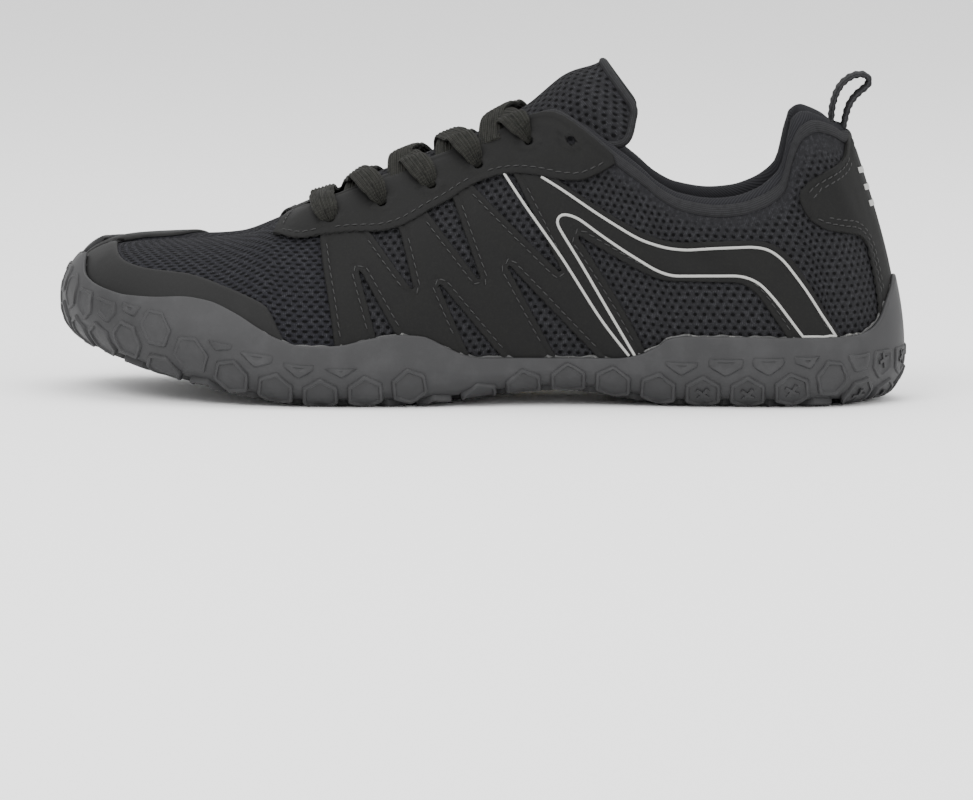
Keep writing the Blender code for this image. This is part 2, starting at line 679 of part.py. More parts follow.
def build_outsole(shoe, cutters, look, insert_look):
    """The moulded rubber cup: base, rounded edge, the rand that climbs the upper, and the tread."""
    rings, outside = sole_rings()
    bm = bmesh.new()
    rows = [[bm.verts.new(p) for p in ring] for ring in rings]
    for number, (first, second) in enumerate(zip(rows, rows[1:])):
        band_between(bm, first, second, downward=number >= outside)
    cap_across(bm, rows[0], lambda x, y: tread_height(x, y) + LUG_HEIGHT, False)
    cap_across(bm, rows[-1], floor_height, True)
    bmesh.ops.remove_doubles(bm, verts=bm.verts, dist=0.00001)
    sole = new_object("outsole", bm, shoe, look)
    pocket = arch_bar("insert pocket", rings, cutters, 0, -INSERT_DEPTH, 0.0040)
    pocket.hide_render = True
    pocket.display_type = "WIRE"
    combine(sole, "DIFFERENCE", pocket)
    combine(sole, "UNION", build_lugs(rings[:outside], cutters), crossing=True)
    merge_flat(sole)
    arch_bar("arch_insert", rings, shoe, CLEARANCE, CLEARANCE - INSERT_DEPTH, 0.0004, insert_look)
    return sole


def build_insole(where, look):
    """The loose sock liner on the outsole's floor."""
    turn = ring_turns(STATIONS)
    inset = UPPER_WALL + 2 * CLEARANCE
    plan = layer(turn, np.zeros(len(turn)), np.full(len(turn), -inset))
    bm = bmesh.new()
    rows = []
    for lift in (CLEARANCE, CLEARANCE + INSOLE_THICKNESS):
        ring = plan.copy()
        ring[:, 2] = floor_height(ring[:, 0], ring[:, 1]) + lift
        rows.append([bm.verts.new(p) for p in ring])
    band_between(bm, rows[0], rows[1])
    cap_across(bm, rows[0], lambda x, y: floor_height(x, y) + CLEARANCE, True)
    cap_across(bm, rows[1], lambda x, y: floor_height(x, y) + CLEARANCE + INSOLE_THICKNESS, True)
    return new_object("insole", bm, where, look)


def side_prism(name, outline, low_y, high_y, cutters):
    """A cutter: a side view outline, in shares of the length, drawn out across the shoe."""
    bm = bmesh.new()
    rings = []
    for y in (low_y, high_y):
        rings.append([bm.verts.new((x * SHOE_LENGTH, y, z * SHOE_LENGTH)) for x, z in outline])
    band_between(bm, rings[0], rings[1])
    bm.faces.new(rings[0])
    bm.faces.new(rings[1][::-1])
    made = new_object(name, bm, cutters)
    made.hide_render = True
    made.display_type = "WIRE"
    return made


def merge_flat(target):
    """Merges the faces of a piece that lie in one plane."""
    step = target.modifiers.new("merge flat", "DECIMATE")
    step.decimate_type = "DISSOLVE"
    step.angle_limit = math.radians(1.0)


def combine(target, operation, tool, crossing=False):
    """Adds an exact Boolean to a piece. Crossing is for a tool whose own parts may cross each other."""
    step = target.modifiers.new(tool.name, "BOOLEAN")
    step.operation = operation
    step.object = tool
    step.solver = "EXACT"
    step.use_self = crossing


def overlay(name, thickness, where, look):
    """The whole outer layer over the mesh, from the rand's edge to the topline, before it is cut out."""
    turn = ring_turns(STATIONS)
    edge = np.minimum(level_at_height(turn, RAND_TOP) + 0.008, 0.99)
    grids = []
    for distance in (OVERLAY_GAP + thickness, OVERLAY_GAP):
        grid = []
        for k in range(LEVELS + 1):
            grid.append(rib_layer(turn, np.maximum(edge, k / LEVELS), distance))
        grid[-1] = joined_ridge(grid[-1], STATIONS.index(VAMP_POINT))
        grids.append(grid)
    bm = lofted_shell(*grids, [], STATIONS.index(VAMP_POINT))
    return new_object(name, bm, where, look)


def band_round_toe(name, thickness, where, look):
    """The toe overlay: a band from the rand's edge up to the overlay's inner edge."""
    first = STATIONS.index(0.636)
    turn = ring_turns(STATIONS)[first:-first]
    low = np.minimum(level_at_height(turn, RAND_TOP) + 0.024, 0.98)
    line = np.array(TOE_INNER_EDGE[1:])[::-1] * SHOE_LENGTH
    levels = np.linspace(0, 1, 101)
    high = []
    for one, edge in zip(turn, low):
        rib = skin(np.full(101, one), levels)
        under = (rib[:, 0] > line[-1, 0]) | (rib[:, 2] < np.interp(rib[:, 0], line[:, 0], line[:, 1]))
        under &= rib[:, 0] > line[0, 0]
        top = levels[under].max() if under.any() else 0.0
        if one > 1:
            top = max(top, edge + 0.11 * float(smoothstep(0.76, 0.86, rib[40, 0] / SHOE_LENGTH)))
        high.append(min(max(top, edge), 0.985))
    high = np.array(high)
    wide = np.nonzero(high > low + 0.004)[0]
    kept = slice(wide[0] - 1, wide[-1] + 2)
    turn, low, high = turn[kept], low[kept], high[kept]
    high[0], high[-1] = low[0], low[-1]
    bm = bmesh.new()
    sheets = []
    for distance in (OVERLAY_GAP + thickness, OVERLAY_GAP):
        rows = [rib_layer(turn, np.clip(k / LEVELS, low, high), distance) for k in range(LEVELS + 1)]
        sheets.append([[bm.verts.new(p) for p in row] for row in rows])
    for sheet in sheets:
        for bottom, top in zip(sheet, sheet[1:]):
            band_between(bm, bottom, top, closed=False)
    for k in (0, -1):
        band_between(bm, sheets[0][k], sheets[1][k], closed=False)
    for k in (0, -1):
        edge = [[row[k] for row in sheet] for sheet in sheets]
        band_between(bm, edge[0], edge[1], closed=False)
    bmesh.ops.remove_doubles(bm, verts=bm.verts, dist=0.00005)
    bmesh.ops.dissolve_degenerate(bm, edges=bm.edges, dist=0.00005)
    bmesh.ops.delete(bm, geom=[edge for edge in bm.edges if not edge.link_faces], context="EDGES")
    bmesh.ops.delete(bm, geom=[vert for vert in bm.verts if not vert.link_faces], context="VERTS")
    return new_object(name, bm, where, look)


def build_overlays(shoe, cutters, look):
    """Toe cap, eyestay, heel counter and the two side overlays."""
    far = BALL_WIDTH
    band_round_toe("toe_overlay", OVERLAY_SKIN, shoe, look)
    eyestay = overlay("eyestay", EYESTAY_SKIN, shoe, look)
    outline = ((0.753, 0.40),) + EYESTAY_LOWER_EDGE + ((0.345, 0.40),)
    combine(eyestay, "INTERSECT", side_prism("eyestay outline", outline, -far, far, cutters))
    counter = overlay("heel_counter", OVERLAY_SKIN, shoe, look)
    outline = COUNTER_EDGE + ((-0.1, 0.040), (-0.1, 0.400))
    combine(counter, "INTERSECT", side_prism("counter outline", outline, -far, far, cutters))
    under = tuple((x, z - 0.0016) for x, z in EYESTAY_LOWER_EDGE[3:15])
    outline = SIDE_FRONT_EDGE[:3] + under + BAND_TOP_EDGE
    for side, low, high in (("lateral", 0.006, far), ("medial", -far, -0.006)):
        piece = overlay(f"side_overlay_{side}", OVERLAY_SKIN, shoe, look)
        combine(piece, "INTERSECT", side_prism(f"{side} outline", outline, low, high, cutters))
        for number, window in enumerate(SIDE_WINDOWS):
            cutter = side_prism(f"{side} window {number + 1}", window, low - 0.003, high + 0.003, cutters)
            combine(piece, "DIFFERENCE", cutter)
    return eyestay


def cut_eyelets(pieces, cutters):
    """Cuts the round lace holes through the eyestay and the wall under it."""
    bm = bmesh.new()
    for share, level in EYELETS:
        for turn in (turn_of(share), 2 - turn_of(share)):
            place = Vector(skin(turn, level))
            out = Vector(skin_normal(turn, level))
            turned = out.to_track_quat("Z", "Y").to_matrix().to_4x4()
            turned.translation = place
            bmesh.ops.create_cone(
                bm, cap_ends=True, segments=8, radius1=EYELET_RADIUS, radius2=EYELET_RADIUS,
                depth=0.016, matrix=turned,
            )
    holes = new_object("eyelet holes", bm, cutters)
    holes.hide_render = True
    holes.display_type = "WIRE"
    for piece in pieces:
        combine(piece, "DIFFERENCE", holes)


def tongue_row(share):
    """A row of points across the tongue's outer face, just inside the upper's throat."""
    turn = float(turn_of(share))
    half = TONGUE_POINTS // 2
    closed = share >= VAMP_POINT
    count = half + 1 if closed else half - 1
    low, high = TONGUE_SIDE_LEVELS
    levels = np.linspace(high + (low - high) * smoothstep(0.45, 0.60, share), 1, count)
    inset = pad_thickness(turn, levels) + TONGUE_CLEARANCE
    lateral = layer(np.full(count, turn), levels, -inset)
    medial = layer(np.full(count, 2 - turn), levels, -inset)
    if closed:
        top = (lateral[-1] + medial[-1]) / 2
        return np.vstack([lateral[:-1], top, medial[-2::-1]])
    bulge = TONGUE_BULGE * smoothstep(VAMP_POINT - 0.03, 0.66, share)
    middle = []
    for part, lift in ((0.25, 0.72), (0.5, 1.0), (0.75, 0.72)):
        point = lateral[-1] * (1 - part) + medial[-1] * part
        middle.append(point + np.array([0.4, 0, 0.9]) * bulge * lift)
    return np.vstack([lateral, middle, medial[::-1]])


def tongue_grid():
    """The tongue's outer face from its toe end, along the throat, to its free top edge."""
    rows = [tongue_row(share) for share in TONGUE_ROWS]
    last = rows[-1]
    for part, reach in ((0.30, 1.0), (0.60, 1.0), (0.86, 0.94), (1.0, 0.70)):
        angle = np.linspace(1, -1, len(last)) * reach * math.pi / 2
        top = np.column_stack([
            TONGUE_TOP_SIDE[0] + (TONGUE_TOP[0] - TONGUE_TOP_SIDE[0]) * np.cos(angle),
            TONGUE_HALF_WIDTH * np.sin(angle) + TONGUE_SHIFT,
            TONGUE_TOP_SIDE[1] + (TONGUE_TOP[1] - TONGUE_TOP_SIDE[1]) * np.cos(angle),
        ])
        rows.append(last * (1 - part) + top * part)
    return np.array(rows)


def build_tongue(where, look):
    """The padded tongue, a curved panel under the throat that stands free above it."""
    outer = tongue_grid()
    along = np.gradient(outer, axis=0)
    across = np.gradient(outer, axis=1)
    normal = np.cross(across, along)
    normal /= np.linalg.norm(normal, axis=2, keepdims=True)
    normal *= np.sign(normal[..., 2:3])
    u = np.linspace(-1, 1, outer.shape[1])
    thickness = TONGUE_THICKNESS * (0.35 + 0.65 * np.sqrt(1 - u**2))[None, :, None]
    inner = outer - normal * thickness
    bm = bmesh.new()
    sheets = [[[bm.verts.new(p) for p in row] for row in sheet] for sheet in (outer, inner)]
    for sheet in sheets:
        for low, high in zip(sheet, sheet[1:]):
            band_between(bm, low, high, closed=False)
    for k in (0, -1):
        band_between(bm, sheets[0][k], sheets[1][k], closed=False)
        edge = [[row[k] for row in sheet] for sheet in sheets]
        band_between(bm, edge[0], edge[1], closed=False)
    return new_object("tongue", bm, where, look)


def taut(profile):
    """The tight line over a row of (along, up) points: its upper hull."""
    hull = []
    for point in profile:
        while len(hull) > 1:
            (x0, y0), (x1, y1) = hull[-2], hull[-1]
            if (x1 - x0) * (point[1] - y0) - (y1 - y0) * (point[0] - x0) < 0:
                break
            hull.pop()
        hull.append(tuple(point))
    return np.array(hull)


def lace_run(bm, trees, start, end, lift):
    """One flat run of lace drawn tight over the pieces below it, and lifted a little off them."""
    up = Vector((0.42, 0, 0.91)).normalized()
    run = end - start
    ahead = (run - up * run.dot(up)).normalized()
    side = up.cross(ahead).normalized()
    count = 15
    points = []
    for k in range(count):
        base = start + run * (k / (count - 1))
        best = -1.0
        for offset in (-0.5, 0.0, 0.5):
            origin = base + side * LACE_WIDTH * offset + up * 0.05
            for tree in trees:
                hit = tree.ray_cast(origin, -up, 0.09)
                if hit[0] is not None:
                    best = max(best, hit[0].dot(up))
        if best < -0.5:
            best = base.dot(up) - 0.001
        along = (base - start).dot(ahead)
        points.append((along, best + 2 * CLEARANCE + LACE_THICKNESS / 2 + lift))
    line = taut(points)
    rows = []
    origin = start - up * start.dot(up)
    for along, height in line:
        place = origin + ahead * along + up * height
        row = []
        for across, through in ((-0.5, -0.5), (0.5, -0.5), (0.5, 0.5), (-0.5, 0.5)):
            row.append(bm.verts.new(place + side * LACE_WIDTH * across + up * LACE_THICKNESS * through))
        rows.append(row)
    for low, high in zip(rows, rows[1:]):
        band_between(bm, low, high)
    bm.faces.new(rows[0])
    bm.faces.new(rows[-1][::-1])


def build_lace(shoe, cutters, look, under):
    """The lacing: a bar over the lowest eyelets and crossed runs above it, joined where they meet."""
    bpy.context.view_layer.update()
    graph = bpy.context.evaluated_depsgraph_get()
    trees = [BVHTree.FromObject(piece, graph) for piece in under]
    shift = Vector((-HEEL_SEAT, 0, 0))
    runs = []
    for row in range(LACED):
        share, level = EYELETS[row]
        turn = float(turn_of(share))
        for mine, other in ((turn, 2 - turn), (2 - turn, turn)):
            hole = Vector(skin(mine, level)) + shift
            if row:
                low_share = EYELETS[row - 1][0]
                low = float(turn_of(low_share))
                low = low if other < 1 else 2 - low
                edge = Vector(skin(low, 0.88)) + shift
                runs.append((edge, hole + (hole - edge).normalized() * EYELET_RADIUS))
        if row == 0:
            runs.append((Vector(skin(turn, level)) + shift, Vector(skin(2 - turn, level)) + shift))
    lace = None
    for number, (start, end) in enumerate(runs):
        bm = bmesh.new()
        lace_run(bm, trees, start, end, LACE_THICKNESS * LACE_LIFTS[number % len(LACE_LIFTS)])
        bmesh.ops.translate(bm, vec=-shift, verts=bm.verts)
        piece = new_object("lace" if lace is None else f"lace run {number}", bm, cutters if lace else shoe, look)
        if lace is None:
            lace = piece
        else:
            piece.hide_render = True
            piece.display_type = "WIRE"
            combine(lace, "UNION", piece)
    return lace


def build_pull_loop(where, look):
    """The webbing loop that stands on the heel's top edge."""
    line = np.array([(along * SHOE_LENGTH, 0, LOOP_SEAT + up) for along, up in LOOP_LINE])
    tangent = np.gradient(line, axis=0)
    side = np.stack([-tangent[:, 2], np.zeros(len(line)), tangent[:, 0]], -1)
    side /= np.linalg.norm(side, axis=1, keepdims=True)
    bm = bmesh.new()
    rows = []
    for point, out in zip(line, side):
        corners = []
        for across, through in ((-1, -1), (1, -1), (1, 1), (-1, 1)):
            place = point + out * through * LOOP_THICKNESS / 2
            corners.append(bm.verts.new(place + np.array([0, across * LOOP_WIDTH / 2, 0])))
        rows.append(corners)
    for low, high in zip(rows, rows[1:]):
        band_between(bm, low, high)
    bm.faces.new(rows[0])
    bm.faces.new(rows[-1][::-1])
    return new_object("pull_loop", bm, where, look)


def main():
    """Builds the shoe."""
    for old in list(bpy.data.objects):
        bpy.data.objects.remove(old)
    shoe = bpy.data.collections.new("barefoot_shoe")
    cutters = bpy.data.collections.new("cutters")
    bpy.context.scene.collection.children.link(shoe)
    bpy.context.scene.collection.children.link(cutters)
    rubber = material("outsole rubber", (0.035, 0.035, 0.038), 0.6)
    knit = material("air mesh", (0.02, 0.02, 0.024), 0.9)
    foam = material("sock liner", (0.02, 0.02, 0.02), 0.9)
    synthetic = material("matte synthetic", (0.022, 0.022, 0.025), 0.75)
    padding = material("tongue mesh", (0.02, 0.02, 0.024), 0.9)
    webbing = material("webbing", (0.025, 0.025, 0.027), 0.85)
    accent = material("arch insert", (0.70, 0.62, 0.03), 0.5)
    cord = material("lace", (0.040, 0.040, 0.034), 0.9)
    build_outsole(shoe, cutters, rubber, accent)
    upper = build_upper(shoe, knit)
    build_insole(shoe, foam)
    eyestay = build_overlays(shoe, cutters, synthetic)
    cut_eyelets((upper, eyestay), cutters)
    tongue = build_tongue(shoe, padding)
    build_lace(shoe, cutters, cord, (upper, eyestay, tongue))
    build_pull_loop(shoe, webbing)


main()
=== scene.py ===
"""Looks of the barefoot training shoe: knit upper, stitched overlays, moulded sole, lacing and trim.

The frame is the part's own, in metres: +X runs from heel to toe, +Y to the wearer's left, which is the
outer side of this left shoe, and +Z up. Shapes are worked out from the heel's back, as the part's are, and
each finished piece is moved to the part's origin under the middle of the heel.
"""

import logging
import math
from dataclasses import dataclass, replace
from enum import Enum
from typing import Callable, Sequence

import bmesh
import bpy
import numpy as np
from mathutils import Matrix, Vector
from mathutils.bvhtree import BVHTree
from mathutils.geometry import delaunay_2d_cdt


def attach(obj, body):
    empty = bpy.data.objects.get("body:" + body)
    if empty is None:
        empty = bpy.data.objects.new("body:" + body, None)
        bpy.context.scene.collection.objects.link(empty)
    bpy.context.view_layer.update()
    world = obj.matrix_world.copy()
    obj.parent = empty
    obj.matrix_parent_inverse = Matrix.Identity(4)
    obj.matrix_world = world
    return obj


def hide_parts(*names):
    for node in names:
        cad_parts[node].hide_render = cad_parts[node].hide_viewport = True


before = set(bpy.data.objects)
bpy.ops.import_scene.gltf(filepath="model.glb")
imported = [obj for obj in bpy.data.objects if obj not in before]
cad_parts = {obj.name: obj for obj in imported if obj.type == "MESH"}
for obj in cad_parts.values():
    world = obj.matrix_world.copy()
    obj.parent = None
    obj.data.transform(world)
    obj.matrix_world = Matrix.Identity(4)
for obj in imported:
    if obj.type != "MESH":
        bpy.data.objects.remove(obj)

LOG = logging.getLogger("barefoot shoe")
MERGE = 0.00001
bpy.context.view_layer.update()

# Driving sizes of the whole shoe, in metres
SHOE_LENGTH = 0.280
BALL_WIDTH = 0.1055
HEEL_SEAT = 0.046
TOE_SPRING = 0.018
ARCH_LIFT = 0.0045
MEDIAL_ARCH_LIFT = 0.0035
HEEL_TAB_HEIGHT = 0.0975
ANKLE_HEIGHT = 0.0695
INSTEP_HEIGHT = 0.0965
TOE_BOX_HEIGHT = 0.0500
VAMP_POINT = 0.755
CLEARANCE = 0.0003
LUG_HEIGHT = 0.0020
OUTSOLE_BASE = 0.0030

# Half widths of the sole, as shares of BALL_WIDTH, at shares of the length from heel to toe
OUTLINE = (
    # share, lateral, medial
    (0.000, 0.000, 0.000),
    (0.025, 0.175, 0.178),
    (0.051, 0.258, 0.258),
    (0.084, 0.312, 0.303),
    (0.117, 0.340, 0.322),
    (0.183, 0.357, 0.331),
    (0.250, 0.357, 0.330),
    (0.315, 0.353, 0.320),
    (0.381, 0.357, 0.313),
    (0.447, 0.373, 0.324),
    (0.500, 0.400, 0.356),
    (0.545, 0.436, 0.396),
    (0.592, 0.469, 0.438),
    (0.644, 0.493, 0.477),
    (0.710, 0.503, 0.497),
    (0.776, 0.488, 0.496),
    (0.842, 0.437, 0.482),
    (0.908, 0.352, 0.455),
    (0.941, 0.278, 0.424),
    (0.974, 0.155, 0.350),
    (0.990, 0.045, 0.262),
    (1.000, -0.124, 0.124),
)

# Lift of the tread off the floor: shares of TOE_SPRING, ARCH_LIFT and MEDIAL_ARCH_LIFT
TREAD_LIFT = (
    # share, toe spring, arch, medial arch
    (0.000, 0.120, 0.00, 0.00),
    (0.050, 0.030, 0.00, 0.00),
    (0.090, 0.000, 0.00, 0.00),
    (0.270, 0.000, 0.00, 0.00),
    (0.330, 0.000, 0.45, 0.40),
    (0.400, 0.000, 1.00, 1.00),
    (0.450, 0.000, 0.90, 1.00),
    (0.520, 0.000, 0.35, 0.40),
    (0.590, 0.000, 0.00, 0.00),
    (0.700, 0.000, 0.00, 0.00),
    (0.760, 0.105, 0.00, 0.00),
    (0.812, 0.245, 0.00, 0.00),
    (0.867, 0.440, 0.00, 0.00),
    (0.910, 0.610, 0.00, 0.00),
    (0.950, 0.790, 0.00, 0.00),
    (1.000, 1.000, 0.00, 0.00),
)

# Height of the rubber rand's top edge, as shares of RAND_HEIGHT
RAND_HEIGHT = 0.042
RAND_TOP = (
    # share, lateral, medial
    (0.000, 1.000, 1.000),
    (0.021, 0.960, 0.960),
    (0.025, 0.870, 0.870),
    (0.031, 0.770, 0.770),
    (0.038, 0.660, 0.660),
    (0.048, 0.590, 0.590),
    (0.066, 0.545, 0.545),
    (0.100, 0.535, 0.535),
    (0.264, 0.545, 0.545),
    (0.284, 0.525, 0.530),
    (0.296, 0.470, 0.480),
    (0.320, 0.395, 0.420),
    (0.345, 0.370, 0.400),
    (0.500, 0.370, 0.400),
    (0.524, 0.395, 0.415),
    (0.546, 0.460, 0.460),
    (0.575, 0.540, 0.535),
    (0.600, 0.547, 0.547),
    (0.634, 0.515, 0.520),
    (0.669, 0.462, 0.470),
    (0.705, 0.452, 0.460),
    (0.739, 0.507, 0.520),
    (0.761, 0.580, 0.600),
    (0.790, 0.690, 0.740),
    (0.821, 0.767, 0.860),
    (0.850, 0.790, 0.960),
    (0.885, 0.780, 1.070),
    (0.915, 0.785, 1.175),
    (0.939, 0.815, 1.225),
    (0.956, 0.855, 1.185),
    (0.966, 0.905, 1.110),
    (0.973, 1.010, 1.010),
    (1.000, 1.020, 1.020),
)

# Topline of the upper: collar, throat and the ridge over the toes
TOPLINE = (
    # share, height
    (0.000, 0.955 * HEEL_TAB_HEIGHT),
    (0.010, 0.956 * HEEL_TAB_HEIGHT),
    (0.030, 0.985 * HEEL_TAB_HEIGHT),
    (0.052, 1.000 * HEEL_TAB_HEIGHT),
    (0.071, 0.975 * HEEL_TAB_HEIGHT),
    (0.083, 0.910 * HEEL_TAB_HEIGHT),
    (0.094, 0.800 * HEEL_TAB_HEIGHT),
    (0.107, 1.075 * ANKLE_HEIGHT),
    (0.127, 1.035 * ANKLE_HEIGHT),
    (0.154, 1.005 * ANKLE_HEIGHT),
    (0.185, 0.995 * ANKLE_HEIGHT),
    (0.231, 1.018 * ANKLE_HEIGHT),
    (0.260, 1.065 * ANKLE_HEIGHT),
    (0.287, 1.140 * ANKLE_HEIGHT),
    (0.333, 0.902 * INSTEP_HEIGHT),
    (0.373, 0.962 * INSTEP_HEIGHT),
    (0.412, 1.000 * INSTEP_HEIGHT),
    (0.451, 0.972 * INSTEP_HEIGHT),
    (0.482, 0.925 * INSTEP_HEIGHT),
    (0.522, 0.880 * INSTEP_HEIGHT),
    (0.579, 0.824 * INSTEP_HEIGHT),
    (0.640, 0.763 * INSTEP_HEIGHT),
    (0.700, 0.700 * INSTEP_HEIGHT),
    (0.755, 0.641 * INSTEP_HEIGHT),
    (0.828, 1.080 * TOE_BOX_HEIGHT),
    (0.875, 1.045 * TOE_BOX_HEIGHT),
    (0.930, 1.025 * TOE_BOX_HEIGHT),
    (1.000, 0.985 * TOE_BOX_HEIGHT),
)

# Sections of the upper. Each side is a cubic curve from the feather edge to the topline:
# widths are shares of the local half width, heights are shares of the section's own height.
SECTIONS = (
    # share, bulge out, bulge in, shoulder out, shoulder in, opening, bulge height, high out, high in
    (0.000, 1.05, 1.05, 0.88, 0.88, 0.72, 0.30, 0.65, 0.65),
    (0.060, 1.05, 1.06, 0.90, 0.90, 0.75, 0.32, 0.66, 0.66),
    (0.190, 1.06, 1.18, 0.92, 0.92, 0.80, 0.36, 0.70, 0.70),
    (0.300, 1.06, 1.46, 0.94, 0.94, 0.80, 0.36, 0.74, 0.74),
    (0.345, 1.06, 1.62, 0.94, 0.94, 0.77, 0.36, 0.76, 0.76),
    (0.385, 1.07, 1.70, 0.91, 0.91, 0.67, 0.36, 0.80, 0.80),
    (0.422, 1.07, 1.70, 0.86, 0.86, 0.50, 0.36, 0.84, 0.84),
    (0.466, 1.07, 1.58, 0.79, 0.79, 0.37, 0.36, 0.88, 0.88),
    (0.522, 1.06, 1.38, 0.70, 0.70, 0.30, 0.36, 0.90, 0.90),
    (0.579, 1.04, 1.20, 0.64, 0.64, 0.27, 0.36, 0.91, 0.91),
    (0.640, 1.02, 1.08, 0.59, 0.59, 0.24, 0.37, 0.92, 0.92),
    (0.700, 1.01, 1.03, 0.56, 0.57, 0.22, 0.38, 0.94, 0.94),
    (0.740, 1.01, 1.02, 0.56, 0.58, 0.17, 0.39, 0.96, 0.97),
    (0.755, 1.01, 1.02, 0.56, 0.59, 0.00, 0.40, 1.00, 1.01),
    (0.830, 1.02, 1.03, 0.60, 0.70, 0.00, 0.44, 1.00, 1.05),
    (0.900, 1.03, 1.04, 0.64, 0.84, 0.00, 0.46, 1.00, 1.12),
    (0.960, 1.04, 1.04, 0.68, 0.88, 0.00, 0.46, 0.99, 1.13),
    (1.000, 1.04, 1.04, 0.74, 0.80, 0.00, 0.45, 0.98, 1.02),
)
FEATHER_WIDTH = 0.935

# Side view of the two ends of the upper, heel back and toe front, measured in from the sole's ends
HEEL_END = (0.0045, 0.0000, 0.0105, 0.0205)
TOE_END = (0.0050, -0.0010, 0.0040, 0.0230)

# Side views of the overlays as shares of SHOE_LENGTH: along from the heel's back, up from the floor
EYESTAY_LOWER_EDGE = (
    (0.753, 0.204), (0.747, 0.191), (0.716, 0.189), (0.695, 0.194), (0.657, 0.197), (0.621, 0.199),
    (0.597, 0.206), (0.580, 0.215), (0.563, 0.226), (0.544, 0.235), (0.524, 0.249), (0.504, 0.259),
    (0.480, 0.267), (0.457, 0.269), (0.435, 0.267), (0.409, 0.262), (0.386, 0.262), (0.362, 0.273),
    (0.348, 0.282),
)
SIDE_FRONT_EDGE = ((0.669, 0.040), (0.680, 0.116), (0.690, 0.169), (0.694, 0.193))
BAND_TOP_EDGE = (
    (0.404, 0.256), (0.357, 0.226), (0.317, 0.203), (0.289, 0.194), (0.268, 0.192), (0.185, 0.195),
    (0.165, 0.192), (0.146, 0.180), (0.120, 0.145), (0.083, 0.083), (0.062, 0.040),
)
SIDE_WINDOWS = (
    ((0.640, 0.208), (0.601, 0.210), (0.581, 0.131)),
    ((0.648, 0.163), (0.614, 0.040), (0.577, 0.040)),
    ((0.574, 0.232), (0.541, 0.248), (0.502, 0.141)),
    ((0.556, 0.148), (0.504, 0.030), (0.456, 0.030)),
    ((0.522, 0.262), (0.474, 0.282), (0.406, 0.151)),
    ((0.477, 0.170), (0.400, 0.030), (0.340, 0.030)),
    (
        (0.396, 0.203), (0.362, 0.183), (0.321, 0.160), (0.291, 0.147), (0.198, 0.146), (0.180, 0.132),
        (0.147, 0.085), (0.125, 0.030), (0.295, 0.030), (0.314, 0.073), (0.339, 0.118), (0.362, 0.154),
        (0.382, 0.185),
    ),
)
TOE_INNER_EDGE = (
    (0.937, 0.230), (0.936, 0.172), (0.930, 0.159), (0.910, 0.152), (0.880, 0.149), (0.857, 0.149),
    (0.833, 0.146), (0.810, 0.138), (0.786, 0.130), (0.763, 0.121), (0.744, 0.111), (0.727, 0.095),
    (0.716, 0.079), (0.706, 0.040),
)
COUNTER_EDGE = (
    (0.075, 0.400), (0.075, 0.321), (0.079, 0.290), (0.086, 0.282), (0.121, 0.264), (0.132, 0.252),
    (0.132, 0.238), (0.120, 0.217), (0.104, 0.207), (0.062, 0.199), (0.052, 0.187), (0.043, 0.150),
    (0.037, 0.116), (0.035, 0.040),
)

# Eyelets: place round the outline as a share of the upper's length, and level
EYELETS = ((0.693, 0.74), (0.627, 0.75), (0.565, 0.77), (0.505, 0.80), (0.440, 0.83), (0.386, 0.88))
LACED = 5

# Side view of the reflective lines as shares of SHOE_LENGTH: along from the heel's back, up from the floor
PIPING_LINES = (
    ((0.477, 0.268), (0.456, 0.237), (0.409, 0.173), (0.363, 0.101), (0.330, 0.060)),
    (
        (0.323, 0.060), (0.363, 0.126), (0.386, 0.165), (0.409, 0.201), (0.417, 0.215), (0.413, 0.223),
        (0.406, 0.224), (0.392, 0.220), (0.363, 0.199), (0.339, 0.183), (0.299, 0.159), (0.281, 0.153),
        (0.199, 0.154), (0.179, 0.146), (0.160, 0.126), (0.127, 0.083),
    ),
    (
        (0.434, 0.266), (0.410, 0.252), (0.362, 0.220), (0.320, 0.195), (0.293, 0.186), (0.268, 0.183),
        (0.185, 0.187), (0.168, 0.184), (0.151, 0.172), (0.127, 0.141), (0.089, 0.083),
    ),
    ((0.127, 0.0835), (0.108, 0.0835), (0.089, 0.0835)),
)


def turn_of(share: np.ndarray) -> np.ndarray:
    """The place round the outline, 0 at the heel and 1 at the toe, where a share of the length lies."""
    return np.arccos(1 - 2 * np.clip(share, 0, 1)) / math.pi


def share_of(turn: np.ndarray) -> np.ndarray:
    """The share of the length at a place round the outline."""
    return (1 - np.cos(math.pi * np.asarray(turn, float))) / 2


def fair(table: Sequence, column: int, share: np.ndarray) -> np.ndarray:
    """Reads a column of a table as a fair curve that keeps its rows and never overshoots between them.

    Args:
        table: Rows of values, each after the share of the length where it holds.
        column: The column to read.
        share: The shares of the length to read it at.

    Returns:
        The column's value at each share.
    """
    rows = np.array(table, float)
    at, value = turn_of(rows[:, 0]), rows[:, column]
    step, slope = np.diff(at), np.diff(value) / np.diff(at)
    level = slope[:-1] * slope[1:] > 0
    mean = (step[:-1] + step[1:]) * 3
    near = step[:-1] + 2 * step[1:]
    safe = np.where(level, slope[:-1], 1), np.where(level, slope[1:], 1)
    inner = np.where(level, mean / (near / safe[0] + (mean - near) / safe[1]), 0)
    tangent = np.concatenate([slope[:1], inner, slope[-1:]])
    x = turn_of(share)
    k = np.clip(np.searchsorted(at, x) - 1, 0, len(step) - 1)
    u = (x - at[k]) / step[k]
    start = value[k] * (1 + 2 * u) * (1 - u) ** 2 + step[k] * tangent[k] * u * (1 - u) ** 2
    end = value[k + 1] * u * u * (3 - 2 * u) + step[k] * tangent[k + 1] * u * u * (u - 1)
    return start + end


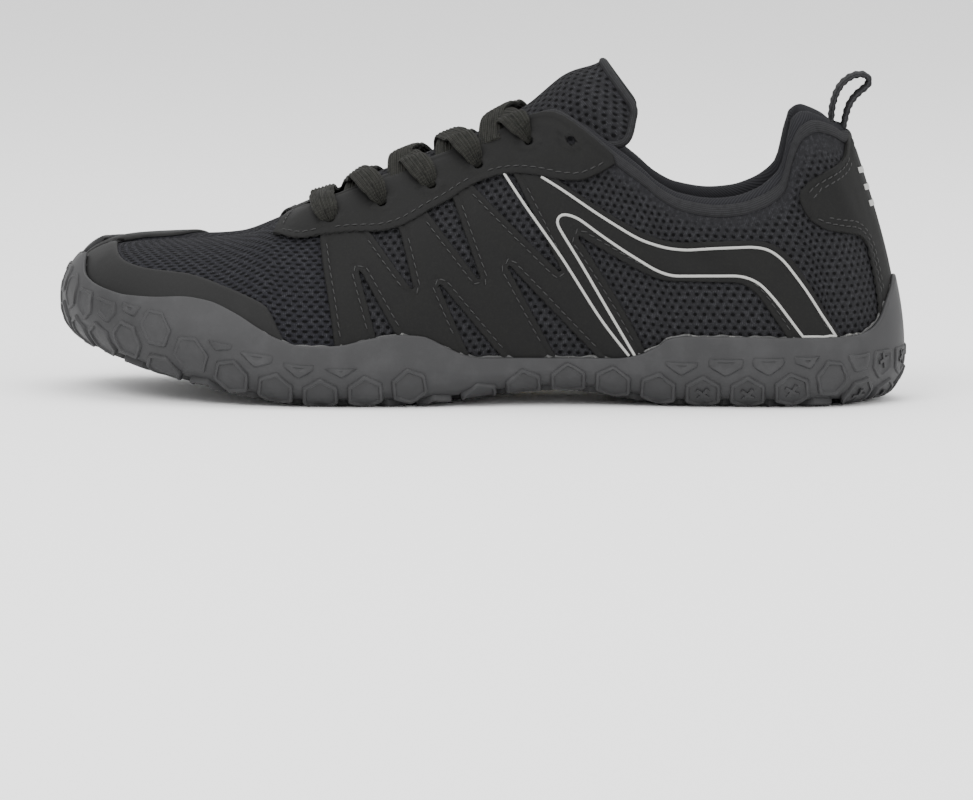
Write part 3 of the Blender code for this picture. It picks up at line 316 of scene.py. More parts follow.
def cubic(
    p0: np.ndarray | float, p1: np.ndarray | float, p2: np.ndarray | float, p3: np.ndarray | float,
    t: np.ndarray,
) -> np.ndarray:
    """The value at t of a cubic curve with four control values."""
    return p0 * (1 - t) ** 3 + 3 * p1 * t * (1 - t) ** 2 + 3 * p2 * t * t * (1 - t) + p3 * t**3


def smoothstep(low: float, high: float, value: np.ndarray) -> np.ndarray:
    """0 below low, 1 above high, and an even rise between."""
    t = np.clip((value - low) / (high - low), 0, 1)
    return t * t * (3 - 2 * t)


def unit(vectors: np.ndarray) -> np.ndarray:
    """The same directions at length 1."""
    return vectors / np.maximum(np.linalg.norm(vectors, axis=-1, keepdims=True), 1e-12)


def run_lengths(line: np.ndarray) -> np.ndarray:
    """How far along a line each of its points lies."""
    return np.concatenate([[0], np.cumsum(np.linalg.norm(np.diff(line, axis=0), axis=1))])


def softened(rows: np.ndarray, times: int) -> np.ndarray:
    """Evens out rows of values in place, with the first and the last row held."""
    for _ in range(times):
        rows[1:-1] = (rows[:-2] + 2 * rows[1:-1] + rows[2:]) / 4
    return rows


def oval(half_width: float, half_height: float, count: int) -> np.ndarray:
    """A closed oval profile as (across, out) points."""
    angle = np.linspace(0, 2 * math.pi, count + 1)[:-1]
    return np.column_stack([half_width * np.cos(angle), half_height * np.sin(angle)])


def ribbed_band(
    size: tuple[float, float], ribs: int, rib: float, powers: tuple[float, float], count: int
) -> np.ndarray:
    """The section of a woven band: flat, with round edges and shallow ribs along it.

    Args:
        size: The band's width and thickness.
        ribs: How many half ribs lie across each half of it.
        rib: The height of a rib.
        powers: How square the edges are, and how near to them the ribs reach.
        count: The number of points across one face.

    Returns:
        The closed profile as (across, out) points.
    """
    u = np.linspace(-1, 1, count)
    full = size[1] / 2 * np.sqrt(np.clip(1 - np.abs(u) ** powers[0], 0, 1))
    ridges = rib * np.cos(u * ribs * math.pi) * (1 - np.abs(u) ** powers[1])
    top = np.column_stack([u * (size[0] / 2), full + ridges])
    return np.vstack([top, (top * [1, -1])[::-1][1:-1]])


def along_line(line: np.ndarray, step: float, closed: bool) -> np.ndarray:
    """Points at even steps along a line.

    Args:
        line: The line's points.
        step: The distance between two new points, which is rounded to fit.
        closed: Whether the last point joins the first.

    Returns:
        The new points, without a repeat of the first where the line is closed.
    """
    line = np.asarray(line, float)
    if closed:
        line = np.vstack([line, line[:1]])
    reach = run_lengths(line)
    count = max(3, int(round(reach[-1] / step)))
    at = np.linspace(0, reach[-1], count + 1)[: count if closed else count + 1]
    return np.column_stack([np.interp(at, reach, line[:, k]) for k in range(line.shape[1])])


def evenly(line: np.ndarray, steps: int) -> np.ndarray:
    """An open line with points at a number of even steps."""
    return along_line(line, np.linalg.norm(np.diff(line, axis=0), axis=1).sum() / steps, False)


def rounded(corners: Sequence, radius: float, closed: bool = True) -> np.ndarray:
    """Rounds the corners of a flat outline with short arcs.

    Args:
        corners: The outline's corners.
        radius: How far before and after a corner its arc begins, at most.
        closed: Whether the outline is closed.

    Returns:
        The outline's points.
    """
    points = np.asarray(corners, float)
    count = len(points)
    made = []
    for k in range(count):
        if not closed and k in (0, count - 1):
            made.append(points[k])
            continue
        before, here, after = points[k - 1], points[k], points[(k + 1) % count]
        back, ahead = before - here, after - here
        reach = min(radius, 0.45 * np.linalg.norm(back), 0.45 * np.linalg.norm(ahead))
        start, end = here + unit(back) * reach, here + unit(ahead) * reach
        for t in (0.0, 0.2, 0.4, 0.6, 0.8, 1.0):
            made.append(start * (1 - t) ** 2 + here * 2 * t * (1 - t) + end * t * t)
    return np.array(made)


def inside_outline(points: np.ndarray, outline: np.ndarray) -> np.ndarray:
    """Whether each flat point lies inside a closed outline."""
    start, end = outline, np.roll(outline, -1, 0)
    x, y = points[:, 0][:, None], points[:, 1][:, None]
    crosses = (start[:, 1] > y) != (end[:, 1] > y)
    rise = np.where(np.abs(end[:, 1] - start[:, 1]) < 1e-12, 1e-12, end[:, 1] - start[:, 1])
    at = start[:, 0] + (y - start[:, 1]) * (end[:, 0] - start[:, 0]) / rise
    return (crosses & (x < at)).sum(1) % 2 == 1


def gap_to(points: np.ndarray, others: np.ndarray) -> np.ndarray:
    """The distance from each point to the nearest of the others."""
    gaps = np.empty(len(points))
    for k in range(0, len(points), 400):
        part = points[k : k + 400]
        gaps[k : k + 400] = np.sqrt(((part[:, None] - others[None]) ** 2).sum(2).min(1))
    return gaps


class Side(Enum):
    """The two sides of the shoe."""

    LATERAL = 1
    MEDIAL = -1

    @property
    def heel(self) -> float:
        """The turn at the heel that this side's places are counted from."""
        return 0.0 if self is Side.LATERAL else 2.0

    @property
    def label(self) -> str:
        """The side's word in the names of pieces."""
        return self.name.lower()


@dataclass(frozen=True)
class Crease:
    """A soft trough pressed into the upper: its middle, direction and reach in the surface's own plane."""

    turn: float
    level: float
    heading: float
    length: float
    width: float
    depth: float


# Main creases, by place round the outline, level, heading in degrees, then length, width and depth
CREASES = (
    Crease(0.628, 0.62, 78, 0.030, 0.0060, 0.0007),
    Crease(0.655, 0.70, 70, 0.026, 0.0055, 0.0006),
    Crease(1.372, 0.62, 100, 0.032, 0.0060, 0.0007),
    Crease(1.345, 0.70, 112, 0.026, 0.0055, 0.0006),
    Crease(0.330, 0.72, 28, 0.034, 0.0060, 0.0006),
    Crease(0.300, 0.58, 40, 0.030, 0.0065, 0.0005),
    Crease(1.670, 0.72, 150, 0.034, 0.0060, 0.0006),
    Crease(1.700, 0.58, 140, 0.030, 0.0065, 0.0005),
    Crease(0.150, 0.66, 60, 0.022, 0.0060, 0.0005),
    Crease(1.850, 0.66, 120, 0.022, 0.0060, 0.0005),
)


@dataclass(frozen=True)
class ShoeForm:
    """The form that every piece follows: the upper's outer surface, the tread and the rubber's edge."""

    wall: float = 0.0020
    collar_pad: float = 0.0080
    around: float = 0.330
    high: float = 0.085

    def tread(self, x: np.ndarray, y: np.ndarray) -> np.ndarray:
        """Height of the lug faces above the floor at a place in plan."""
        share = x / SHOE_LENGTH
        inner_side = smoothstep(0.0, -0.3 * BALL_WIDTH, y)
        return (
            TOE_SPRING * fair(TREAD_LIFT, 1, share)
            + ARCH_LIFT * fair(TREAD_LIFT, 2, share)
            + MEDIAL_ARCH_LIFT * fair(TREAD_LIFT, 3, share) * inner_side
        )

    def floor(self, x: np.ndarray, y: np.ndarray) -> np.ndarray:
        """Height of the outsole's inner floor."""
        return self.tread(x, y) + LUG_HEIGHT + OUTSOLE_BASE

    def pad(self, turn: np.ndarray, level: np.ndarray) -> np.ndarray:
        """Thickness of the upper's wall, which swells into the padded collar."""
        behind = 1 - smoothstep(0.31, 0.41, share_of(turn))
        return self.wall + (self.collar_pad - self.wall) * behind * smoothstep(0.42, 0.80, level)

    def skin(self, turn: np.ndarray, level: np.ndarray) -> np.ndarray:
        """Works out points of the upper's outer surface.

        Args:
            turn: Places round the foot: 0 at the heel, 1 at the toe, and up to 2 back along the inner side.
            level: Places up each rib: 0 at the feather edge and 1 at the topline.

        Returns:
            The points, measured from the heel's back.
        """
        turn, level = np.broadcast_arrays(np.mod(turn, 2.0), np.clip(level, 0, 1))
        lateral = turn <= 1
        share = share_of(turn)
        outer = fair(OUTLINE, 1, share) * BALL_WIDTH
        inner = -fair(OUTLINE, 2, share) * BALL_WIDTH
        middle = (outer + inner) / 2
        half = np.where(lateral, outer, inner) - middle
        bulge = np.where(lateral, fair(SECTIONS, 1, share), fair(SECTIONS, 2, share))
        opening = np.where(share >= VAMP_POINT, 0, fair(SECTIONS, 5, share))
        shoulder = np.where(lateral, fair(SECTIONS, 3, share), fair(SECTIONS, 4, share))
        width = cubic(FEATHER_WIDTH, bulge, shoulder, opening, level)
        x_heel = cubic(*HEEL_END, level)
        x_toe = SHOE_LENGTH - cubic(*TOE_END, level)
        foot = self.floor(x_heel + share * (x_toe - x_heel), middle + half * FEATHER_WIDTH) + CLEARANCE
        top = fair(TOPLINE, 1, share) - self.pad(turn, np.ones_like(turn)) / 2
        high = np.where(lateral, fair(SECTIONS, 7, share), fair(SECTIONS, 8, share))
        rise = cubic(0, fair(SECTIONS, 6, share), high, 1, level)
        x = x_heel + share * (x_toe - x_heel)
        return np.stack([x, middle + half * width, foot + (top - foot) * rise], -1)

    def normal(self, turn: np.ndarray, level: np.ndarray) -> np.ndarray:
        """The outward direction of the upper's outer surface."""
        level = np.minimum(level, 0.97)
        along = self.skin(np.asarray(turn) + 0.004, level) - self.skin(np.asarray(turn) - 0.004, level)
        up = self.skin(turn, level + 0.01) - self.skin(turn, level - 0.01)
        return unit(np.cross(up, along))

    def sag(self, turn: np.ndarray, level: np.ndarray) -> np.ndarray:
        """Depth of the soft creases at places on the surface, as a negative distance."""
        turn, level = np.broadcast_arrays(np.asarray(turn, float), np.asarray(level, float))
        depth = np.zeros(turn.shape)
        for crease in CREASES:
            heading = math.radians(crease.heading)
            du = (turn - crease.turn) * self.around
            dv = (level - crease.level) * self.high
            along = (du * math.cos(heading) + dv * math.sin(heading)) / (crease.length / 2)
            across = (-du * math.sin(heading) + dv * math.cos(heading)) / crease.width
            trough = np.exp(-across**2) - 0.45 * np.exp(-((np.abs(across) - 1.6) ** 2) * 1.5)
            depth -= crease.depth * trough * np.exp(-along**2)
        return depth

    def layer(self, turn: np.ndarray, level: np.ndarray, distance: np.ndarray) -> np.ndarray:
        """Points at a distance outside the upper's outer surface, creases included."""
        distance = np.asarray(distance + self.sag(turn, level), float)[..., None]
        return self.skin(turn, level) + self.normal(turn, level) * distance

    def edge_level(self, turn: np.ndarray) -> np.ndarray:
        """The level on each rib where it reaches the rubber's top edge."""
        levels = np.linspace(0, 1, 161)
        found = []
        for one in turn:
            rib = self.skin(np.full(161, one), levels)
            sides = []
            for column in (1, 2):
                edge = RAND_HEIGHT * fair(RAND_TOP, column, rib[:, 0] / SHOE_LENGTH)
                over = np.nonzero(rib[:, 2] > edge)[0]
                k = max(1, over[0]) if len(over) else 160
                drop = (edge - rib[:, 2])[k - 1], (edge - rib[:, 2])[k]
                part = np.clip(drop[0] / max(drop[0] - drop[1], 1e-9), 0, 1)
                sides.append(levels[k - 1] + part * (levels[k] - levels[k - 1]))
            medial = smoothstep(0.90, 1.25, one)
            found.append(sides[0] * (1 - medial) + sides[1] * medial)
        return np.array(found)

    def project(self, outline: np.ndarray, side: Side) -> np.ndarray:
        """Finds where points of a side view lie on the upper.

        Args:
            outline: Points along from the heel's back and up from the floor, in metres.
            side: The side of the shoe that is looked at.

        Returns:
            The turn and level of each point.
        """
        x, z = outline[:, 0], outline[:, 1]
        sign, base = side.value, side.heel
        turn = np.clip(turn_of(x / SHOE_LENGTH), 0.02, 0.98)
        level = np.full(len(x), 0.5)
        for _ in range(14):
            here = self.skin(base + sign * turn, level)
            dt = (self.skin(base + sign * (turn + 0.002), level) - here) / 0.002
            dl = (self.skin(base + sign * turn, np.clip(level + 0.002, 0, 1)) - here) / 0.002
            ex, ez = x - here[:, 0], z - here[:, 2]
            det = dt[:, 0] * dl[:, 2] - dt[:, 2] * dl[:, 0]
            det = np.where(np.abs(det) < 1e-7, 1e-7, det)
            turn = turn + np.clip((ex * dl[:, 2] - ez * dl[:, 0]) / det, -0.05, 0.05)
            level = level + np.clip((dt[:, 0] * ez - dt[:, 2] * ex) / det, -0.10, 0.10)
            turn, level = np.clip(turn, 0.001, 0.999), np.clip(level, 0.0, 0.995)
        return np.column_stack([base + sign * turn, level])

    def step_inward(self, places: np.ndarray, distance: float, closed: bool) -> np.ndarray:
        """Moves a line on the surface sideways by a real distance.

        Args:
            places: The turn and level of the line's points.
            distance: How far to move it, to the left of its run as seen from outside.
            closed: Whether the line is closed.

        Returns:
            The turn and level of the moved points.
        """
        turn, level = places[:, 0], places[:, 1]
        points = self.skin(turn, level)
        if closed:
            run = np.roll(points, -1, 0) - np.roll(points, 1, 0)
        else:
            run = np.gradient(points, axis=0)
        aside = unit(np.cross(self.normal(turn, level), unit(run))) * distance
        dt = (self.skin(turn + 0.002, level) - self.skin(turn - 0.002, level)) / 0.004
        dl = (self.skin(turn, level + 0.004) - self.skin(turn, level - 0.004)) / (
            np.clip(level + 0.004, 0, 1) - np.clip(level - 0.004, 0, 1)
        )[:, None]
        tt, ll, tl = (dt * dt).sum(1), (dl * dl).sum(1), (dt * dl).sum(1)
        at, al = (aside * dt).sum(1), (aside * dl).sum(1)
        det = np.maximum(tt * ll - tl * tl, 1e-12)
        move = np.column_stack([(at * ll - al * tl) / det, (al * tt - at * tl) / det])
        return np.column_stack([turn + move[:, 0], np.clip(level + move[:, 1], 0, 1)])


FORM = ShoeForm()

# The rings of rubber that the flat tread pattern wraps over, and the length up each of their columns
Wrap = tuple[np.ndarray, np.ndarray]

# Real size of one turn and of one level, which flat plans of the surface are drawn at
SPAN = np.array([FORM.around, FORM.high])


def deselect() -> None:
    """Leaves edit mode and selects nothing."""
    if bpy.context.object is not None and bpy.context.object.mode != "OBJECT":
        bpy.ops.object.mode_set(mode="OBJECT")
    bpy.ops.object.select_all(action="DESELECT")


def finish_mesh(piece: bpy.types.Object, merge: float, smooth: float = 40.0) -> None:
    """Closes a piece's seams, turns its faces outward and shades it.

    Args:
        piece: The piece to finish.
        merge: How near two points are merged, in metres.
        smooth: The angle in degrees over which an edge stays sharp.
    """
    deselect()
    bpy.context.view_layer.objects.active = piece
    piece.select_set(True)
    bpy.ops.object.mode_set(mode="EDIT")
    bpy.ops.mesh.select_all(action="SELECT")
    bpy.ops.mesh.remove_doubles(threshold=merge)
    bpy.ops.mesh.normals_make_consistent(inside=False)
    bpy.ops.object.mode_set(mode="OBJECT")
    bpy.ops.object.shade_smooth_by_angle(angle=math.radians(smooth))
    piece.select_set(False)


def apply_modifiers(piece: bpy.types.Object) -> None:
    """Applies every modifier of a piece in its order."""
    deselect()
    bpy.context.view_layer.objects.active = piece
    piece.select_set(True)
    for modifier in list(piece.modifiers):
        bpy.ops.object.modifier_apply(modifier=modifier.name)
    piece.select_set(False)


def new_piece(name: str, points: np.ndarray, faces: Sequence[Sequence[int]]) -> bpy.types.Object:
    """Adds a piece made of points, measured from the heel's back, and faces."""
    mesh = bpy.data.meshes.new(name)
    mesh.from_pydata((points - [HEEL_SEAT, 0, 0]).tolist(), [], faces)
    piece = bpy.data.objects.new(name, mesh)
    bpy.context.collection.objects.link(piece)
    return piece


def set_uv(mesh: bpy.types.Mesh, uv: np.ndarray) -> None:
    """Gives a mesh its surface coordinates, in metres, one pair for each vertex."""
    chart = mesh.uv_layers.active or mesh.uv_layers.new(name="UVMap")
    index = np.empty(len(mesh.loops), np.int32)
    mesh.loops.foreach_get("vertex_index", index)
    chart.data.foreach_set("uv", np.asarray(uv, np.float32)[index].reshape(-1))


def lay_grid(
    name: str, points: np.ndarray, uv: np.ndarray | None = None, drop: np.ndarray | None = None,
    merge: float = MERGE, smooth: float = 40.0, values: np.ndarray | None = None,
) -> bpy.types.Object:
    """Adds a grid primitive and lays it over rows of points.

    Args:
        name: The piece's name.
        points: The places of the grid's points, by row and column, from the heel's back.
        uv: Surface coordinates of the same points.
        drop: Faces to leave out, by row and column.
        merge: How near two points are merged.
        smooth: The angle in degrees over which an edge stays sharp.
        values: Numbers for the attribute that the knit reads, by row and column.

    Returns:
        The new piece.
    """
    rows, columns = points.shape[:2]
    deselect()
    bpy.ops.mesh.primitive_grid_add(x_subdivisions=columns - 1, y_subdivisions=rows - 1, size=1)
    piece = bpy.context.object
    piece.name = name
    mesh = piece.data
    placed = points.reshape(-1, 3) - np.array([HEEL_SEAT, 0, 0])
    mesh.vertices.foreach_set("co", placed.astype(np.float32).reshape(-1))
    if uv is not None:
        set_uv(mesh, uv.reshape(-1, 2))
    if values is not None:
        weave = mesh.attributes.new("weave", "FLOAT", "POINT")
        weave.data.foreach_set("value", values.astype(np.float32).reshape(-1))
    if drop is not None:
        bm = bmesh.new()
        bm.from_mesh(mesh)
        bm.faces.ensure_lookup_table()
        out = [bm.faces[int(k)] for k in np.nonzero(drop.reshape(-1))[0]]
        bmesh.ops.delete(bm, geom=out, context="FACES")
        bm.to_mesh(mesh)
        bm.free()
    mesh.update()
    finish_mesh(piece, merge, smooth)
    return piece


def joined(name: str, pieces: Sequence[bpy.types.Object]) -> bpy.types.Object:
    """Joins pieces into one."""
    deselect()
    for piece in pieces:
        piece.select_set(True)
    bpy.context.view_layer.objects.active = pieces[0]
    if len(pieces) > 1:
        bpy.ops.object.join()
    pieces[0].name = name
    pieces[0].select_set(False)
    return pieces[0]


def dress(piece: bpy.types.Object, look: bpy.types.Material, slot: str, *nodes: str) -> bpy.types.Object:
    """Gives a piece its finish, its body and the solids that it stands for.

    Args:
        piece: The finished piece.
        look: Its material.
        slot: Not used.
        nodes: The solids that it replaces.

    Returns:
        The piece.
    """
    piece.data.materials.clear()
    piece.data.materials.append(look)
    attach(piece, "root")
    if nodes:
        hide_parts(*nodes)
    LOG.info("%s: %d faces", piece.name, len(piece.data.polygons))
    return piece


def sweep(
    line: np.ndarray, aside: np.ndarray, out: np.ndarray, profile: np.ndarray, closed: bool = False,
    scale: np.ndarray | None = None,
) -> tuple[np.ndarray, np.ndarray]:
    """Works out the grid of a profile drawn along a line.

    Args:
        line: The line's points.
        aside: The direction across the piece at each of them.
        out: The direction out of the piece at each of them.
        profile: A closed profile as (across, out) points.
        closed: Whether the line is closed.
        scale: Widening of the profile across and out at each point.

    Returns:
        The grid's points and its surface coordinates.
    """
    if closed:
        line, aside, out = (np.vstack([a, a[:1]]) for a in (line, aside, out))
    if scale is None:
        scale = np.ones((len(line), 2))
    elif closed:
        scale = np.vstack([scale, scale[:1]])
    shape = np.vstack([profile, profile[:1]])
    grid = (
        line[:, None]
        + aside[:, None] * (shape[None, :, :1] * scale[:, None, :1])
        + out[:, None] * (shape[None, :, 1:] * scale[:, None, 1:])
    )
    return grid, np.stack(np.meshgrid(run_lengths(shape), run_lengths(line)), -1)


def with_ends(grid: np.ndarray, uv: np.ndarray, dome: float = 0.0) -> tuple[np.ndarray, np.ndarray]:
    """Closes both ends of a swept grid with a row drawn to its middle."""
    first, last = grid[0, :-1].mean(0), grid[-1, :-1].mean(0)
    first = first + unit(grid[0, :-1].mean(0) - grid[1, :-1].mean(0)) * dome
    last = last + unit(grid[-1, :-1].mean(0) - grid[-2, :-1].mean(0)) * dome
    start = np.repeat(first[None, None], grid.shape[1], 1)
    end = np.repeat(last[None, None], grid.shape[1], 1)
    return np.vstack([start, grid, end]), np.vstack([uv[:1], uv, uv[-1:]])


class Chart:
    """Real lengths on the upper's surface, which patterns are scaled by."""

    def __init__(self, form: ShoeForm) -> None:
        """Measures the surface once.

        Args:
            form: The form to measure.
        """
        self.turns = np.linspace(0, 2, 241)
        self.levels = np.linspace(0, 1, 61)
        grid = form.skin(self.turns[None], self.levels[:, None])
        rise = np.linalg.norm(np.diff(grid, axis=0), axis=2)
        self.height = np.vstack([np.zeros((1, 241)), np.cumsum(rise, 0)])
        vamp = float(turn_of(VAMP_POINT))
        held = np.clip(self.turns, vamp, 2 - vamp)
        self.height -= np.interp(held, self.turns, self.height[-1])
        middle = form.skin(np.linspace(0, 1, 401), np.full(401, 0.6))
        self.run = run_lengths(middle)

    def __call__(self, turn: np.ndarray, level: np.ndarray) -> np.ndarray:
        """Surface coordinates in metres: along from the heel, and up to 0 at the topline."""
        turn, level = np.broadcast_arrays(np.mod(np.asarray(turn, float), 2.0), np.asarray(level, float))
        along = np.interp(np.where(turn > 1, 2 - turn, turn), np.linspace(0, 1, 401), self.run)
        col, row = turn / 2 * 240, np.clip(level, 0, 1) * 60
        c0, r0 = np.minimum(col.astype(int), 239), np.minimum(row.astype(int), 59)
        fc, fr = col - c0, row - r0
        low = self.height[r0, c0] * (1 - fc) + self.height[r0, c0 + 1] * fc
        top = self.height[r0 + 1, c0] * (1 - fc) + self.height[r0 + 1, c0 + 1] * fc
        return np.stack([along, low * (1 - fr) + top * fr], -1)


CHART = Chart(FORM)


@dataclass(frozen=True)
class KnitUpper:
    """The mesh shell with its padded collar and its lining, open at the collar and the throat."""

    open_columns: int = 170
    closed_columns: int = 62
    levels: int = 66
    inner_levels: int = 40
    rim_rows: int = 8
    lining_step: float = 0.0016
    fine_levels: tuple[float, float] = (0.84, 0.93)
    fine_shares: tuple[float, float] = (0.36, 0.42)
    tape: tuple[float, float] = (0.0021, 0.0009)
    tape_end: float = 0.475
    tape_level: float = 0.978

    def turns(self) -> np.ndarray:
        """Places of the columns, once round the foot."""
        vamp = float(turn_of(VAMP_POINT))
        lateral = np.concatenate([
            np.linspace(0, vamp, self.open_columns), np.linspace(vamp, 1, self.closed_columns)[1:]
        ])
        return np.concatenate([lateral, 2 - lateral[-2::-1]])

    def build(self, mesh_look: bpy.types.Material, lining_look: bpy.types.Material) -> bpy.types.Object:
        """Builds the shell.

        Args:
            mesh_look: The finish outside.
            lining_look: The finish of the rim and the inside.

        Returns:
            The finished piece.
        """
        turn = self.turns()
        count = len(turn)
        rows, charts, weave = [], [], []
        up_levels = np.linspace(0, 1, self.levels + 1)
        share = share_of(turn)
        for level in up_levels:
            here = np.full(count, level)
            rows.append(FORM.layer(turn, here, np.zeros(count)))
            charts.append(CHART(turn, here))
            fine = smoothstep(*self.fine_levels, here) * (1 - smoothstep(*self.fine_shares, share))
            weave.append(1 - fine)
        inner = []
        for level in np.linspace(1, 0, self.inner_levels + 1):
            here = np.full(count, level)
            inner.append(FORM.layer(turn, here, -FORM.pad(turn, here)))
        top, bottom = rows[-1], inner[0]
        centre, reach = (top + bottom) / 2, (top - bottom) / 2
        up = unit(FORM.skin(turn, np.ones(count)) - FORM.skin(turn, np.full(count, 0.98)))
        up *= np.linalg.norm(reach, axis=1, keepdims=True)
        for k in range(1, self.rim_rows):
            angle = math.pi * k / self.rim_rows
            rows.append(centre + reach * math.cos(angle) + up * math.sin(angle))
        rows += inner
        rows.append(rows[0])
        while len(charts) < len(rows):
            beyond = self.lining_step * (len(charts) - self.levels)
            charts.append(CHART(turn, np.full(count, 1.0)) + np.array([0, beyond]))
            weave.append(np.full(count, -1.0))
        first_closed = self.open_columns - 1
        drop = np.zeros((len(rows) - 1, count - 1), bool)
        drop[self.levels : self.levels + self.rim_rows, first_closed : count - 1 - first_closed] = True
        piece = lay_grid(
            "knit_upper", np.array(rows), np.array(charts), drop, values=np.array(weave), smooth=60,
        )
        dress(piece, mesh_look, "mesh", "upper")
        piece.data.materials.append(lining_look)
        values = np.empty(len(piece.data.vertices), np.float32)
        piece.data.attributes["weave"].data.foreach_get("value", values)
        for face in piece.data.polygons:
            face.material_index = int(min(values[k] for k in face.vertices) < -0.5)
        return piece

    def binding(self, look: bpy.types.Material) -> bpy.types.Object:
        """The knitted tape that is sewn round the collar and up to the throat.

        Args:
            look: The finish.

        Returns:
            The finished piece.
        """
        start = float(turn_of(self.tape_end))
        turn = np.concatenate([np.linspace(start, 0, 150), 2 - np.linspace(0, start, 150)[1:]])
        level = np.full(len(turn), self.tape_level)
        line = FORM.layer(turn, level, np.full(len(turn), 0.0002))
        out = FORM.normal(turn, level)
        across = unit(FORM.skin(turn, np.full(len(turn), 0.99)) - FORM.skin(turn, np.full(len(turn), 0.95)))
        part = np.linspace(0, 1, len(turn))
        taper = smoothstep(0, 0.05, np.minimum(part, np.linspace(1, 0, len(turn))))
        scale = np.column_stack([0.35 + 0.65 * taper, 0.5 + 0.5 * taper])
        grid, uv = with_ends(*sweep(line, across, out, oval(*self.tape, 16), scale=scale), 0.0004)
        return dress(lay_grid("collar_binding", grid, uv, smooth=70), look, "lining")


def closed_edges(loops: Sequence[np.ndarray]) -> tuple[list[Vector], list[tuple[int, int]]]:
    """The points and edges of closed flat loops."""
    points, edges = [], []
    for loop in loops:
        base = len(points)
        points += [Vector(p) for p in loop]
        edges += [(base + k, base + (k + 1) % len(loop)) for k in range(len(loop))]
    return points, edges


def region_loops(outline: np.ndarray, windows: Sequence[np.ndarray]) -> list[np.ndarray]:
    """Cuts windows out of a flat outline.

    Args:
        outline: The closed outline's points.
        windows: Closed outlines to take away, which may cross its edge.

    Returns:
        The closed loops that bound what is left.
    """
    points, edges = closed_edges((outline, *windows))
    verts, _, faces, _, _, _ = delaunay_2d_cdt(points, edges, [], 0, 1e-7)
    flat = np.array([tuple(v) for v in verts])
    middles = np.array([flat[list(face)].mean(0) for face in faces])
    kept = inside_outline(middles, outline)
    for window in windows:
        kept &= ~inside_outline(middles, window)
    after = {}
    used = {}
    for face, keep in zip(faces, kept):
        if keep:
            used.update(dict.fromkeys(zip(face, (*face[1:], face[0]))))
    for start, end in used:
        if (end, start) not in used:
            after.setdefault(start, []).append(end)
    loops = []
    while after:
        first = next(iter(after))
        loop, here = [], first
        while here in after:
            loop.append(here)
            ends = after[here]
            here, rest = ends[0], ends[1:]
            if rest:
                after[loop[-1]] = rest
            else:
                del after[loop[-1]]
        if len(loop) > 4:
            loops.append(flat[loop])
    return loops


